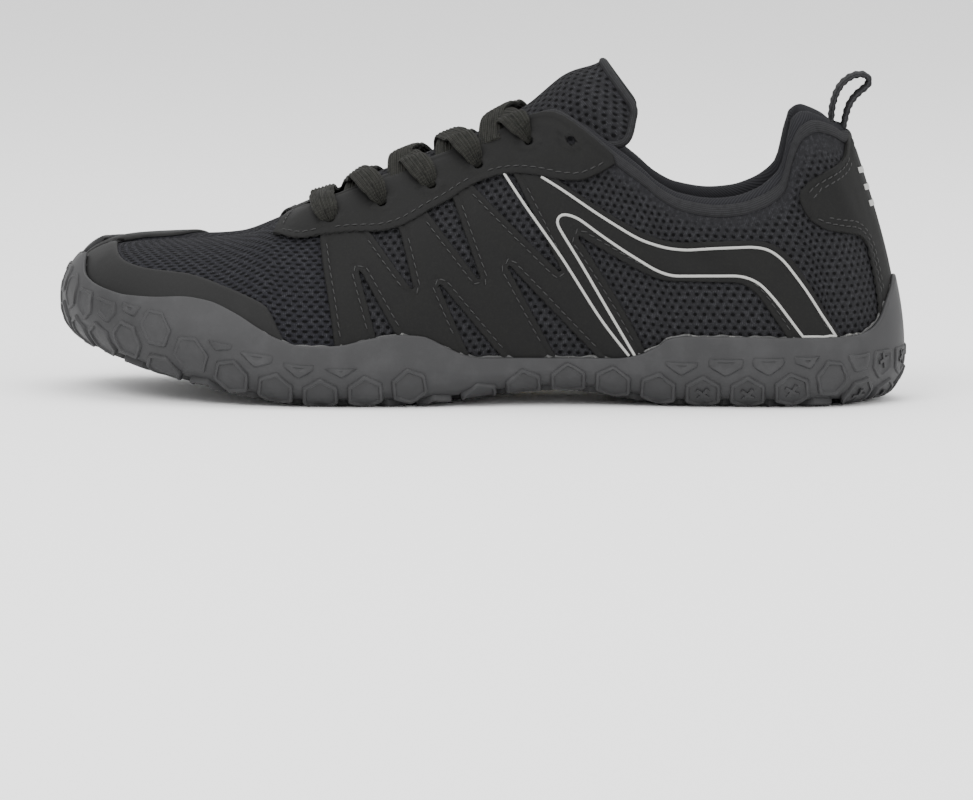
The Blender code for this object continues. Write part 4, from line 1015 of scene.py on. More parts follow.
@dataclass(frozen=True)
class Overlay:
    """A panel of thin synthetic leather laid on the mesh: rounded cut edges and a sewn groove inside them."""

    name: str
    loops: tuple
    slot_node: str
    gap: float = 0.0003
    thickness: float = 0.0008
    spacing: float = 0.0017
    edge: float = 0.0004
    groove_at: float = 0.0022
    groove: float = 0.00028
    groove_width: float = 0.00038
    body: float = 0.0006
    loop_step: float = 0.0010
    rings: tuple[float, ...] = (0.00020, 0.00055, 0.0012, 0.00175, 0.0022, 0.00265)

    def even(self) -> list[np.ndarray]:
        """The loops with points at even steps."""
        return self.spaced(self.loops, self.loop_step)

    def spaced(self, loops: Sequence[np.ndarray], step: float) -> list[np.ndarray]:
        """Closed loops with points at even steps."""
        return [along_line(loop * SPAN, step, True) / SPAN for loop in loops]

    def rim(self, loops: Sequence[np.ndarray], step: float) -> np.ndarray:
        """Close points all along the panel's edge, as it lies on the surface."""
        return np.vstack([FORM.skin(loop[:, 0], loop[:, 1]) for loop in self.spaced(loops, step)])

    def holds(self, flat: np.ndarray, loops: Sequence[np.ndarray]) -> np.ndarray:
        """Whether flat places lie in the panel."""
        inside = np.zeros(len(flat), bool)
        for loop in loops:
            inside ^= inside_outline(flat, loop * SPAN)
        return inside

    def height(self, gap: np.ndarray) -> np.ndarray:
        """The panel's height over its base at a distance from its edge."""
        t = np.clip(gap / self.edge, 0, 1)
        rise = self.thickness * np.sqrt(1 - (1 - t) ** 2)
        return rise - self.groove * np.exp(-(((gap - self.groove_at) / self.groove_width) ** 2))

    def build(self, look: bpy.types.Material) -> bpy.types.Object:
        """Builds the panel.

        Args:
            look: The finish.

        Returns:
            The finished piece.
        """
        loops = self.even()
        rim = self.rim(loops, 0.0003)
        points, edges = closed_edges([loop * SPAN for loop in loops])
        inner = []
        for loop in loops:
            for distance in self.rings:
                for sign in (1, -1):
                    moved = FORM.step_inward(loop, sign * distance, True)
                    moved = moved[self.holds(moved * SPAN, loops)]
                    if len(moved):
                        away = gap_to(FORM.skin(moved[:, 0], moved[:, 1]), rim)
                        inner.append(moved[away > 0.88 * distance] * SPAN)
        whole = np.vstack([loop * SPAN for loop in loops])
        low, high = whole.min(0), whole.max(0)
        across = np.arange(low[0], high[0], self.spacing)
        up = np.arange(low[1], high[1], self.spacing)
        grid = np.stack(np.meshgrid(across, up), -1)
        grid[1::2, :, 0] += self.spacing / 2
        grid = grid.reshape(-1, 2)
        grid = grid[self.holds(grid, loops)]
        places = grid / SPAN
        grid = grid[gap_to(FORM.skin(places[:, 0], places[:, 1]), rim) > 0.0034]
        inner.append(grid)
        points += [Vector(p) for p in np.vstack(inner)]
        verts, _, faces, _, _, _ = delaunay_2d_cdt(points, edges, [], 0, 1e-7)
        flat = np.array([tuple(v) for v in verts])
        corners = np.array([face for face in faces if len(face) == 3])
        corners = corners[self.holds(flat[corners].mean(1), loops)]
        kept = np.unique(corners)
        renumber = np.full(len(flat), -1)
        renumber[kept] = np.arange(len(kept))
        places = flat[kept] / SPAN
        turn, level = places[:, 0], places[:, 1]
        away = gap_to(FORM.skin(turn, level), rim)
        away[away < 0.0001] = 0
        points = FORM.layer(turn, level, self.gap + self.height(away))
        piece = new_piece(self.name, points, renumber[corners].tolist())
        mesh = piece.data
        set_uv(mesh, CHART(turn, level))
        normals = FORM.normal(turn, level)
        one = mesh.polygons[0]
        if np.dot(np.array(one.normal), normals[one.vertices[0]]) < 0:
            mesh.flip_normals()
        body = piece.modifiers.new("body", "SOLIDIFY")
        body.thickness = self.body
        body.offset = -1
        apply_modifiers(piece)
        mesh = piece.data
        mesh.shade_smooth()
        mesh.set_sharp_from_angle(angle=math.radians(60))
        return dress(piece, look, "synthetic", self.slot_node)

    def seams(self, shown: Callable[[np.ndarray], np.ndarray]) -> list[np.ndarray]:
        """Places of the stitch rows.

        Args:
            shown: Says which places of a row are sewn through in view.

        Returns:
            Runs of places, each with its row's direction.
        """
        loops = self.even()
        rim = self.rim(loops, 0.0004)
        rows = []
        for loop in loops:
            for sign in (1, -1):
                row = FORM.step_inward(loop, sign * self.groove_at, True)
                good = self.holds(row * SPAN, loops)
                good &= gap_to(FORM.skin(row[:, 0], row[:, 1]), rim) > 0.85 * self.groove_at
                good &= shown(row)
                runs = np.split(np.arange(len(row)), np.nonzero(np.diff(good.astype(int)))[0] + 1)
                rows += [row[run] for run in runs if good[run[0]] and len(run) > 5]
        return rows


class MeshDraft:
    """Collects the points and faces of many like parts that become one piece."""

    def __init__(self) -> None:
        """Starts empty."""
        self.points: list[np.ndarray] = []
        self.faces: list[tuple[int, ...]] = []
        self.count = 0

    def add(self, points: np.ndarray, faces: Sequence[tuple[int, ...]]) -> None:
        """Adds one part, whose places are measured from the heel's back."""
        self.points.append(points)
        self.faces += [tuple(k + self.count for k in face) for face in faces]
        self.count += len(points)

    def piece(self, name: str) -> bpy.types.Object:
        """Makes the piece."""
        return new_piece(name, np.vstack(self.points), self.faces)


@dataclass(frozen=True)
class Stitching:
    """Rows of short sewn stitches in polyester thread, which lie in the panels' grooves."""

    pitch: float = 0.0029
    length: float = 0.0021
    radius: float = 0.00022
    sides: int = 6

    def capsule(self) -> tuple[np.ndarray, list[tuple[int, ...]]]:
        """One stitch along X, modelled once: its points and faces."""
        rows = [(-0.5, 0.30), (-0.42, 0.80), (0.0, 1.05), (0.42, 0.80), (0.5, 0.30)]
        points, faces = [], []
        for along, width in rows:
            for k in range(self.sides):
                angle = 2 * math.pi * k / self.sides
                dip = -0.9 * self.radius * (2 * along) ** 2
                points.append((
                    along * self.length, width * self.radius * math.cos(angle),
                    width * self.radius * math.sin(angle) + dip,
                ))
        for row in range(len(rows) - 1):
            for k in range(self.sides):
                a, b = row * self.sides + k, row * self.sides + (k + 1) % self.sides
                faces.append((a, b, b + self.sides, a + self.sides))
        faces.append(tuple(range(self.sides))[::-1])
        faces.append(tuple(range(len(points) - self.sides, len(points))))
        return np.array(points), faces

    def build(self, name: str, rows: Sequence[np.ndarray], height: float, look: bpy.types.Material) -> None:
        """Lays stitches along rows on the upper.

        Args:
            name: The piece's name.
            rows: Turn and level of the points of each row.
            height: Height of the thread over the mesh.
            look: The finish.
        """
        shape, faces = self.capsule()
        draft = MeshDraft()
        for row in rows:
            line = FORM.layer(row[:, 0], row[:, 1], np.full(len(row), height))
            out = FORM.normal(row[:, 0], row[:, 1])
            reach = run_lengths(line)
            for at in np.arange(self.pitch / 2, reach[-1] - self.pitch / 2, self.pitch):
                place = np.array([np.interp(at, reach, line[:, k]) for k in range(3)])
                ahead = np.array([np.interp(at + 0.0005, reach, line[:, k]) for k in range(3)])
                up = unit(np.array([np.interp(at, reach, out[:, k]) for k in range(3)]))
                run = unit(ahead - place)
                aside = unit(np.cross(up, run))
                run = unit(run + aside * 0.10)
                draft.add(shape @ np.array([run, aside, up]) + place, faces)
        piece = draft.piece(name)
        piece.data.shade_smooth()
        dress(piece, look, "synthetic")


@dataclass(frozen=True)
class Overlays:
    """All panels on the mesh: eyestay, side panels, heel counter and the welded toe band."""

    eyelet_radius: float = 0.0014
    tuck: float = 0.05
    stitch_margin: float = 0.035

    def under_rand(self, turn: np.ndarray, depth: float) -> np.ndarray:
        """Levels a little below the rubber's edge."""
        return np.maximum(FORM.edge_level(turn) - depth, 0.004)

    def eyelet_places(self, side: Side) -> np.ndarray:
        """Turn and level of one side's lace holes."""
        places = np.array([(float(turn_of(share)), level) for share, level in EYELETS])
        if side is Side.MEDIAL:
            places[:, 0] = 2 - places[:, 0]
        return places

    def eyelet_loop(self, place: np.ndarray) -> np.ndarray:
        """The round edge of one lace hole."""
        turn, level = place[0], place[1]
        dt = (FORM.skin(turn + 0.002, level) - FORM.skin(turn - 0.002, level)) / 0.004
        dl = (FORM.skin(turn, level + 0.01) - FORM.skin(turn, level - 0.01)) / 0.02
        along = unit(dt)
        up = unit(dl - along * (dl @ along))
        angle = np.linspace(0, 2 * math.pi, 17)[:-1]
        reach = self.eyelet_radius * (np.outer(np.cos(angle), along) + np.outer(np.sin(angle), up))
        steps = np.linalg.lstsq(np.column_stack([dt, dl]), reach.T, rcond=None)[0].T
        return np.array(place) + steps

    def eyestay(self, side: Side) -> Overlay:
        """The panel that holds the lace holes of one side."""
        edge = rounded(np.array(EYESTAY_LOWER_EDGE)[1:] * SHOE_LENGTH, 0.003, closed=False)
        lower = FORM.project(along_line(edge, 0.002, False), side)
        base = side.heel
        front, back = abs(lower[0, 0] - base), abs(lower[-1, 0] - base)
        shares = np.linspace(share_of(back) + 0.004, share_of(front) + 0.006, 60)
        turn = base + side.value * turn_of(shares)
        upper = np.column_stack([turn, np.full(len(turn), 0.988)])
        rear = lower[-1] + (upper[0] - lower[-1]) * np.linspace(0, 1, 8)[1:-1, None]
        fore = upper[-1] + (lower[0] - upper[-1]) * np.linspace(0, 1, 8)[1:-1, None]
        loop = np.vstack([lower, rear, upper, fore])
        holes = tuple(self.eyelet_loop(place) for place in self.eyelet_places(side))
        return Overlay(
            f"eyestay_{side.label}", (loop, *holes), "eyestay", gap=0.0009, groove_at=0.0026,
        )

    def side_panel(self, side: Side) -> Overlay:
        """The zigzag panel with its windows, and the band that it sends to the heel."""
        under = tuple((x, z + 0.012) for x, z in EYESTAY_LOWER_EDGE[3:15])
        outline = np.array(SIDE_FRONT_EDGE[:3] + under + BAND_TOP_EDGE) * SHOE_LENGTH
        outline = along_line(rounded(outline, 0.004), 0.0015, True)
        windows = [
            along_line(rounded(np.array(window) * SHOE_LENGTH, 0.0035), 0.0010, True)
            for window in SIDE_WINDOWS
        ]
        loops = []
        for loop in region_loops(outline, windows):
            places = FORM.project(along_line(loop, 0.0010, True), side)
            places[:, 1] = np.maximum(places[:, 1], self.under_rand(places[:, 0], self.tuck))
            step = np.linalg.norm(np.diff(np.vstack([places, places[:1]]), axis=0) * SPAN, axis=1)
            places = places[step > 0.00005]
            if len(places) > 8 and np.ptp(places[:, 1]) > 0.02:
                loops.append(places)
        return Overlay(f"side_panel_{side.label}", tuple(loops), f"side_overlay_{side.label}")

    def heel_counter(self) -> Overlay:
        """The panel round the heel, with a lobe to each side."""
        edge = rounded(np.array(COUNTER_EDGE[1:]) * SHOE_LENGTH, 0.0045, closed=False)
        lateral = FORM.project(along_line(edge, 0.0015, False), Side.LATERAL)
        lateral[:, 1] = np.maximum(lateral[:, 1], self.under_rand(lateral[:, 0], self.tuck))
        medial = lateral[::-1] * [-1, 1]
        top_turn = np.linspace(-lateral[0, 0], lateral[0, 0], 40)
        top = np.column_stack([top_turn, np.full(40, 0.965)])
        low_turn = np.linspace(lateral[-1, 0], -lateral[-1, 0], 30)
        low = np.column_stack([low_turn, self.under_rand(low_turn, self.tuck)])
        loop = np.vstack([top[1:-1], lateral, low[1:-1], medial])
        return Overlay("heel_counter_panel", (loop,), "heel_counter", groove_at=0.0024)

    def toe_band(self) -> Overlay:
        """The welded band that follows the rubber's edge round the toe."""
        turn = np.linspace(0.645, 1.350, 130)
        low = self.under_rand(turn, self.tuck)
        line = np.array(TOE_INNER_EDGE[1:])[::-1] * SHOE_LENGTH
        levels = np.linspace(0, 1, 201)
        edge = FORM.edge_level(turn)
        high = []
        for one, rubber in zip(turn, edge):
            rib = FORM.skin(np.full(201, one), levels)
            under = (rib[:, 0] > line[-1, 0]) | (rib[:, 2] < np.interp(rib[:, 0], line[:, 0], line[:, 1]))
            under &= rib[:, 0] > line[0, 0]
            top = levels[under].max() if under.any() else 0.0
            if one > 1:
                fall = float(smoothstep(1.150, 1.335, one))
                reach = float(smoothstep(0.76, 0.86, rib[80, 0] / SHOE_LENGTH))
                top = 0.975 * (1 - fall) + (rubber + 0.10 * reach) * fall
            high.append(min(max(top, low[len(high)] + 0.004), 0.975))
        kernel = np.ones(9) / 9
        padded = np.concatenate([np.full(4, high[0]), high, np.full(4, high[-1])])
        high = np.convolve(padded, kernel, "valid")
        high = low + (high - low) * (0.04 + 0.96 * smoothstep(0.644, 0.672, turn))
        loop = np.vstack([np.column_stack([turn, low]), np.column_stack([turn, high])[::-1]])
        return Overlay("toe_band", (loop,), "toe_overlay", thickness=0.0008, edge=0.0012, groove=0.0)

    def build(
        self, leather: bpy.types.Material, weld: bpy.types.Material, thread: bpy.types.Material
    ) -> None:
        """Builds the panels and sews them.

        Args:
            leather: The finish of the sewn panels.
            weld: The finish of the toe band.
            thread: The finish of the stitches.
        """
        stitching = Stitching()

        def above_rand(row: np.ndarray) -> np.ndarray:
            """Whether places stand clear of the rubber's edge."""
            return row[:, 1] > FORM.edge_level(row[:, 0]) + self.stitch_margin

        for side in Side:
            stay, panel = self.eyestay(side), self.side_panel(side)
            stay.build(leather)
            panel.build(leather)
            cover = stay.loops[0] * SPAN

            def clear_of_stay(row: np.ndarray, cover: np.ndarray = cover) -> np.ndarray:
                """Whether places stand clear of the eyestay and of the rubber."""
                grown = row * SPAN + [0, 0.0022]
                return above_rand(row) & ~inside_outline(grown, cover)

            rows = [row for row in stay.seams(lambda row: row[:, 1] < 0.93) if len(row) > 14]
            stitching.build(f"stitches_eyestay_{side.label}", rows, stay.gap + stay.thickness, thread)
            rows = panel.seams(clear_of_stay)
            stitching.build(f"stitches_side_{side.label}", rows, panel.gap + panel.thickness, thread)
        counter = self.heel_counter()
        counter.build(leather)
        rows = counter.seams(lambda row: above_rand(row) & (row[:, 1] < 0.90))
        inner = replace(counter, groove_at=0.0043)
        rows += inner.seams(lambda row: above_rand(row) & (row[:, 1] < 0.88))
        stitching.build("stitches_counter", rows, counter.gap + counter.thickness, thread)
        self.toe_band().build(weld)


@dataclass(frozen=True)
class Piping:
    """The thin reflective lines that edge the side band."""

    width: float = 0.00095
    rise: float = 0.0003
    stand: float = 0.00115

    def build(self, look: bpy.types.Material) -> None:
        """Lays the lines on both side panels.

        Args:
            look: The finish.
        """
        profile = oval(self.width / 2, self.rise, 10)
        for side in Side:
            pieces = []
            for number, line in enumerate(PIPING_LINES):
                bent = rounded(np.array(line) * SHOE_LENGTH, 0.006, closed=False)
                places = softened(FORM.project(along_line(bent, 0.0011, False), side), 2)
                turn, level = places[:, 0], places[:, 1]
                points = FORM.layer(turn, level, np.full(len(turn), self.stand))
                out = FORM.normal(turn, level)
                aside = unit(np.cross(out, np.gradient(points, axis=0)))
                grid, uv = with_ends(*sweep(points, aside, out, profile))
                pieces.append(lay_grid(f"line_{number}", grid, uv, smooth=80))
            dress(joined(f"piping_{side.label}", pieces), look, "synthetic")


@dataclass(frozen=True)
class Outsole:
    """The moulded rubber cup with its wrapped honeycomb tread, side panels and the glue line at its edge."""

    pitch: float = 0.0147
    gap: float = 0.0030
    wall: float = 0.0025
    edge: float = 0.0015
    rounding: float = 0.0080
    side_lug: float = 0.0009
    relief: float = 0.0006
    dish: float = 0.0006
    panel_dish: float = 0.0003
    columns: int = 361
    insert_middle: tuple[float, float] = (0.479, -0.171)
    insert_half: tuple[float, float] = (0.073, 0.0315)
    insert_tilt: float = 3.0
    insert_room: float = 0.0012
    cross: tuple[float, float] = (0.0026, 0.00055)
    cross_turn: float = 38.0
    least_area: float = 0.000012
    bead: tuple[float, float] = (0.00075, 0.00055)
    pattern_end: float = 0.034
    arch_edge: float = 0.004
    ground_end: float = 0.0120
    ground_crosses: float = 0.0090
    least_border: float = 0.0125
    heel_share: float = 0.28
    heel_end: float = 0.070
    border_at: tuple[float, ...] = (0.0, 0.12, 0.26, 0.33, 0.38, 0.46, 0.54, 0.70, 0.84, 0.93, 1.0)
    border_reach: tuple[float, ...] = (
        0.0195, 0.0195, 0.0180, 0.0120, 0.0, 0.0, 0.0130, 0.0160, 0.0200, 0.0280, 0.0290,
    )

    def rings(self, turn: np.ndarray) -> tuple[list[np.ndarray], int]:
        """Rings from the tread's flat edge, up the outside, over the rim and down to the inner floor."""
        edge = FORM.edge_level(turn)
        foot = np.minimum(0.10, edge * 0.45)
        gap = 0.0009 + 0.0004 * smoothstep(0.90, 0.98, share_of(turn))
        widest = FORM.layer(turn, foot, 0.0009 + self.wall + 0 * turn)
        around = np.gradient(widest[:, :2], axis=0)
        around[0] = around[-1] = widest[1, :2] - widest[-2, :2]
        inward = unit(np.stack([-around[:, 1], around[:, 0]], -1))
        middle = widest[:, :2].mean(0)
        inward *= np.sign(((middle - widest[:, :2]) * inward).sum(1))[:, None]
        rings = []
        for degrees in (0, 15, 30, 45, 60, 75):
            angle = math.radians(degrees)
            plan = widest[:, :2] + inward * self.rounding * (1 - math.sin(angle))
            base = FORM.tread(plan[:, 0], plan[:, 1]) + LUG_HEIGHT
            height = base + (widest[:, 2] - base) * (1 - math.cos(angle))
            rings.append(np.column_stack([plan, height]))
        rings.append(widest)
        for part in np.linspace(0, 1, 19)[1:]:
            level = foot + (edge - foot) * part
            wall = self.wall + (self.edge - self.wall) * part
            rings.append(FORM.layer(turn, level, gap + wall))
        out, inner = rings[-1], FORM.layer(turn, edge, gap)
        centre, reach = (out + inner) / 2, (out - inner) / 2
        up = unit(FORM.skin(turn, edge + 0.01) - FORM.skin(turn, edge)) * np.linalg.norm(
            reach, axis=1, keepdims=True
        )
        outside = len(rings)
        for degrees in (30, 60, 90, 120, 150):
            angle = math.radians(degrees)
            rings.append(centre + reach * math.cos(angle) + up * math.sin(angle) * 0.8)
        for part in np.linspace(1, 0, 7):
            rings.append(FORM.layer(turn, edge * part, gap))
        lowest = rings[-1].copy()
        lowest[:, 2] = FORM.floor(lowest[:, 0], lowest[:, 1])
        rings.append(lowest)
        return rings, outside

    def build_cup(self, look: bpy.types.Material) -> bpy.types.Object:
        """Builds the cup.

        Args:
            look: The finish.

        Returns:
            The finished piece.
        """
        turn = np.linspace(0, 2, self.columns)
        rings, _ = self.rings(turn)
        rows = []
        flat, top = rings[0], rings[-1]
        spine = np.column_stack([flat[:, 0], np.zeros((len(flat), 2))])
        spine[:, 0] = np.clip(flat[:, 0], 0.030, SHOE_LENGTH - 0.036)
        for part in np.linspace(0, 1, 34)[:-1]:
            plan = spine[:, :2] * (1 - part) + flat[:, :2] * part
            height = FORM.tread(plan[:, 0], plan[:, 1]) + LUG_HEIGHT + self.recess(plan)
            rows.append(np.column_stack([plan, height]))
        rows += rings
        for part in np.linspace(1, 0, 12)[1:]:
            plan = spine[:, :2] * (1 - part) + top[:, :2] * part
            rows.append(np.column_stack([plan, FORM.floor(plan[:, 0], plan[:, 1])]))
        grid = np.array(rows)
        piece = lay_grid("outsole_cup", grid, grid[..., :2].copy(), smooth=45)
        return dress(piece, look, "rubber", "outsole")

    def recess(self, plan: np.ndarray) -> np.ndarray:
        """How far the rubber stands back round the arch insert."""
        tilt, whole = math.radians(self.insert_tilt), np.array([SHOE_LENGTH, BALL_WIDTH])
        off, half = plan - self.insert_middle * whole, self.insert_half * whole
        along = np.abs(off[:, 0] * math.cos(tilt) - off[:, 1] * math.sin(tilt)) - half[0]
        across = np.abs(off[:, 0] * math.sin(tilt) + off[:, 1] * math.cos(tilt)) - half[1]
        return self.insert_room * (1 - smoothstep(0.0002, 0.0018, np.maximum(along, across)))

    def wrap(self) -> Wrap:
        """The rings that the flat pattern wraps over, as one array, and the length up each column."""
        turn = np.linspace(0, 2, self.columns)[:-1]
        rings, outside = self.rings(turn)
        stack = np.array(rings[:outside])
        steps = np.linalg.norm(np.diff(stack, axis=0), axis=2)
        return stack, np.vstack([np.zeros((1, stack.shape[1])), np.cumsum(steps, 0)])

    def places(self, wrap: Wrap, plan: np.ndarray, rise: np.ndarray) -> tuple[np.ndarray, np.ndarray]:
        """Lays places of the flat tread pattern on the sole, which they wrap upward.

        Args:
            wrap: The rings and lengths that the pattern wraps over.
            plan: Flat places.
            rise: The height of each over the rubber.

        Returns:
            The points, and how far each lies outside the tread's flat edge.
        """
        stack, reach = wrap
        start, end = stack[0, :, :2], np.roll(stack[0, :, :2], -1, 0)
        run = end - start
        length = (run**2).sum(1)
        points = np.empty((len(plan), 3))
        beyond = np.empty(len(plan))
        count = len(start)
        for number, place in enumerate(plan):
            part = np.clip(((place - start) * run).sum(1) / length, 0, 1)
            foot = start + run * part[:, None]
            gap = np.linalg.norm(place - foot, axis=1)
            k = int(np.argmin(gap))
            off = place - foot[k]
            out = -gap[k] if run[k, 0] * off[1] - run[k, 1] * off[0] < 0 else gap[k]
            beyond[number] = out
            if out <= 0:
                height = float(FORM.tread(place[0], place[1])) + LUG_HEIGHT - rise[number]
                points[number] = (place[0], place[1], height)
                continue
            n = (k + 1) % count
            line = stack[:, k] * (1 - part[k]) + stack[:, n] * part[k]
            at = reach[:, k] * (1 - part[k]) + reach[:, n] * part[k]
            here = [np.interp(out, at, line[:, axis]) for axis in range(3)]
            ahead = np.array([np.interp(out + 0.001, at, line[:, axis]) for axis in range(3)])
            behind = np.array([np.interp(out - 0.001, at, line[:, axis]) for axis in range(3)])
            across = stack[0, n] - stack[0, k]
            points[number] = np.array(here) - unit(np.cross(across, ahead - behind)) * rise[number]
        return points, beyond

    def honeycomb(self) -> list[tuple[float, float]]:
        """Centres of the honeycomb's cells."""
        step = self.pitch * math.sqrt(3) / 2
        return [
            (HEEL_SEAT + (column + 0.5 * (row % 2)) * self.pitch, row * step)
            for row in range(-8, 9) for column in range(-8, 24)
        ]

    def hexagon(self, centre: tuple[float, float], side: float) -> np.ndarray:
        """A cell's outline with points between its corners, which are a little blunt."""
        angles = np.radians(np.arange(30, 390, 60))
        corners = np.array(centre) + side * np.column_stack([np.cos(angles), np.sin(angles)])
        ahead = np.roll(corners, -1, 0)
        parts = np.array([0.06, 0.35, 0.65, 0.94])[:, None]
        return np.vstack([here + (there - here) * parts for here, there in zip(corners, ahead)])

    def under_arch(self, centre: tuple[float, float]) -> bool:
        """Whether a cell lies in the smooth field under the inner arch."""
        row = round(centre[1] / (self.pitch * math.sqrt(3) / 2))
        share = centre[0] / SHOE_LENGTH
        return row < 0 and 0.348 - 0.012 * (-1 - row) < share < 0.600 + 0.024 * (-1 - row)

    def block(
        self, wrap: Wrap, outline: np.ndarray, height: Callable[[np.ndarray], np.ndarray], root: float,
        bevel: float, dish: float,
    ) -> tuple[np.ndarray, list[tuple[int, ...]]]:
        """One raised block of the pattern, modelled as rings from its root to its dished face's middle."""
        middle = outline.mean(0)
        toward = middle - outline
        reach = float(np.linalg.norm(toward, axis=1).min())
        toward /= reach
        rim = bevel + 0.0007
        steps = [(-0.0002, 0.0, True), (0.0001, bevel, False), (bevel, 0.0, False), (rim, 0.0, False)]
        steps += [(rim + 0.0003, dish, False), (0.75 * reach, dish, False)]
        rings = [outline + toward * inset for inset, _, _ in steps] + [middle[None]]
        rises = [(drop, sunk) for _, drop, sunk in steps] + [(dish, False)]
        plan = np.vstack(rings)
        _, beyond = self.places(wrap, plan, np.zeros(len(plan)))
        full = height(beyond)
        rise, at = np.empty(len(plan)), 0
        for ring, (drop, sunk) in zip(rings, rises):
            part = slice(at, at + len(ring))
            rise[part] = -root if sunk else full[part] - drop
            at += len(ring)
        points, _ = self.places(wrap, plan, rise)
        count = len(outline)
        faces = []
        for ring in range(5):
            for k in range(count):
                a, b = ring * count + k, ring * count + (k + 1) % count
                faces.append((a, b, b + count, a + count))
        last = 5 * count
        faces += [(last + k, last + (k + 1) % count, last + count) for k in range(count)]
        return points, faces

    def build_lugs(self, look: bpy.types.Material) -> None:
        """Builds the ground lugs, the low panels above them and the small crosses on both.

        Args:
            look: The finish.
        """
        wrap = self.wrap()
        edge_plan, full_reach = wrap[0][0, :, :2], wrap[1][-1]
        side = (self.pitch - self.gap) / math.sqrt(3)
        lugs, panels, marks = MeshDraft(), MeshDraft(), MeshDraft()

        def tread_rise(beyond: np.ndarray) -> np.ndarray:
            """Height of the ground lugs, which sink as they climb the side."""
            return LUG_HEIGHT + (self.side_lug - LUG_HEIGHT) * smoothstep(0.001, 0.008, beyond)

        def panel_rise(beyond: np.ndarray) -> np.ndarray:
            """Height of the low panels, which is the same all over."""
            return np.full(len(beyond), self.relief)

        for centre in self.honeycomb():
            place = np.array([centre])
            _, beyond = self.places(wrap, place, np.zeros(1))
            out = float(beyond[0])
            if out > self.pattern_end or self.under_arch(centre) and out < self.arch_edge:
                continue
            column = int(np.argmin(((edge_plan - place) ** 2).sum(1)))
            border = min(self.border(centre), float(full_reach[column]) - self.gap)
            if out < self.ground_end:
                outline = self.hexagon(centre, side)
                lugs.add(*self.block(wrap, outline, tread_rise, 0.0012, 0.00045, self.dish))
                at_heel = centre[0] < self.heel_share * SHOE_LENGTH
                if out < -self.arch_edge or at_heel and out < self.ground_crosses:
                    height = float(tread_rise(np.array([out]))[0])
                    self.add_cross(wrap, marks, centre, height - self.dish)
            elif out < border + side and border > self.least_border:
                outline = self.clipped(wrap, self.hexagon(centre, side), border)
                if outline is not None:
                    panels.add(*self.block(wrap, outline, panel_rise, 0.0008, 0.00035, self.panel_dish))
                    if centre[0] < self.heel_end and out < border - self.gap:
                        self.add_cross(wrap, marks, centre, self.relief - self.panel_dish)
        for name, draft in (("outsole_lugs", lugs), ("outsole_panels", panels), ("outsole_crosses", marks)):
            piece = draft.piece(name)
            finish_mesh(piece, MERGE, 35)
            dress(piece, look, "rubber", "outsole")

    def border(self, centre: tuple[float, float]) -> float:
        """How far the low panels reach outside the tread's flat edge."""
        return float(np.interp(centre[0] / SHOE_LENGTH, self.border_at, self.border_reach))

    def clipped(self, wrap: Wrap, outline: np.ndarray, border: float) -> np.ndarray | None:
        """Cuts a cell off where it would pass the border."""
        _, beyond = self.places(wrap, outline, np.zeros(len(outline)))
        if (beyond < border).sum() < 4:
            return None
        if (beyond <= border).all():
            return outline
        kept = []
        count = len(outline)
        for k in range(count):
            n = (k + 1) % count
            if beyond[k] <= border:
                kept.append(outline[k])
            if (beyond[k] <= border) != (beyond[n] <= border):
                part = (border - beyond[k]) / (beyond[n] - beyond[k])
                kept.append(outline[k] * (1 - part) + outline[n] * part)
        cut = np.array(kept)
        area = 0.5 * abs((cut[:, 0] * np.roll(cut[:, 1], -1) - cut[:, 1] * np.roll(cut[:, 0], -1)).sum())
        return None if area < self.least_area else along_line(cut, 0.0016, True)

    def add_cross(self, wrap: Wrap, draft: MeshDraft, centre: tuple[float, float], base: float) -> None:
        """Adds the small four-armed cross on a block's face."""
        arm, half = self.cross
        corners = [
            (arm, -half), (arm, half), (half, half), (half, arm), (-half, arm), (-half, half), (-arm, half),
            (-arm, -half), (-half, -half), (-half, -arm), (half, -arm), (half, -half),
        ]
        turned = math.radians(self.cross_turn)
        cos, sin = math.cos(turned), math.sin(turned)
        plan = np.array([(centre[0] + u * cos - v * sin, centre[1] + u * sin + v * cos) for u, v in corners])
        low, _ = self.places(wrap, plan, np.full(12, base - 0.0001))
        top, _ = self.places(wrap, plan, np.full(12, base + 0.00050))
        faces = [(k, (k + 1) % 12, 12 + (k + 1) % 12, 12 + k) for k in range(12)]
        faces.append(tuple(range(12, 24)))
        draft.add(np.vstack([low, top]), faces)

    def build_glue(self, look: bpy.types.Material) -> None:
        """Lays the uneven, half clear line of glue where the rubber's edge meets the mesh.

        Args:
            look: The finish.
        """
        turn = np.linspace(0, 2, 901)[:-1]
        edge = FORM.edge_level(turn)
        wave = 0.5 + 0.28 * np.sin(turn * 171) + 0.22 * np.sin(turn * 393 + 1)
        level = edge + 0.003 + 0.005 * wave
        line = FORM.layer(turn, level, np.full(len(turn), self.bead[1]))
        out = FORM.normal(turn, level)
        aside = unit(np.cross(out, np.roll(line, -1, 0) - np.roll(line, 1, 0)))
        scale = np.column_stack([0.55 + 0.6 * wave, 0.7 + 0.4 * wave])
        grid, uv = sweep(line, aside, out, oval(*self.bead, 8), closed=True, scale=scale)
        dress(lay_grid("glue_line", grid, uv, smooth=80), look, "rubber")


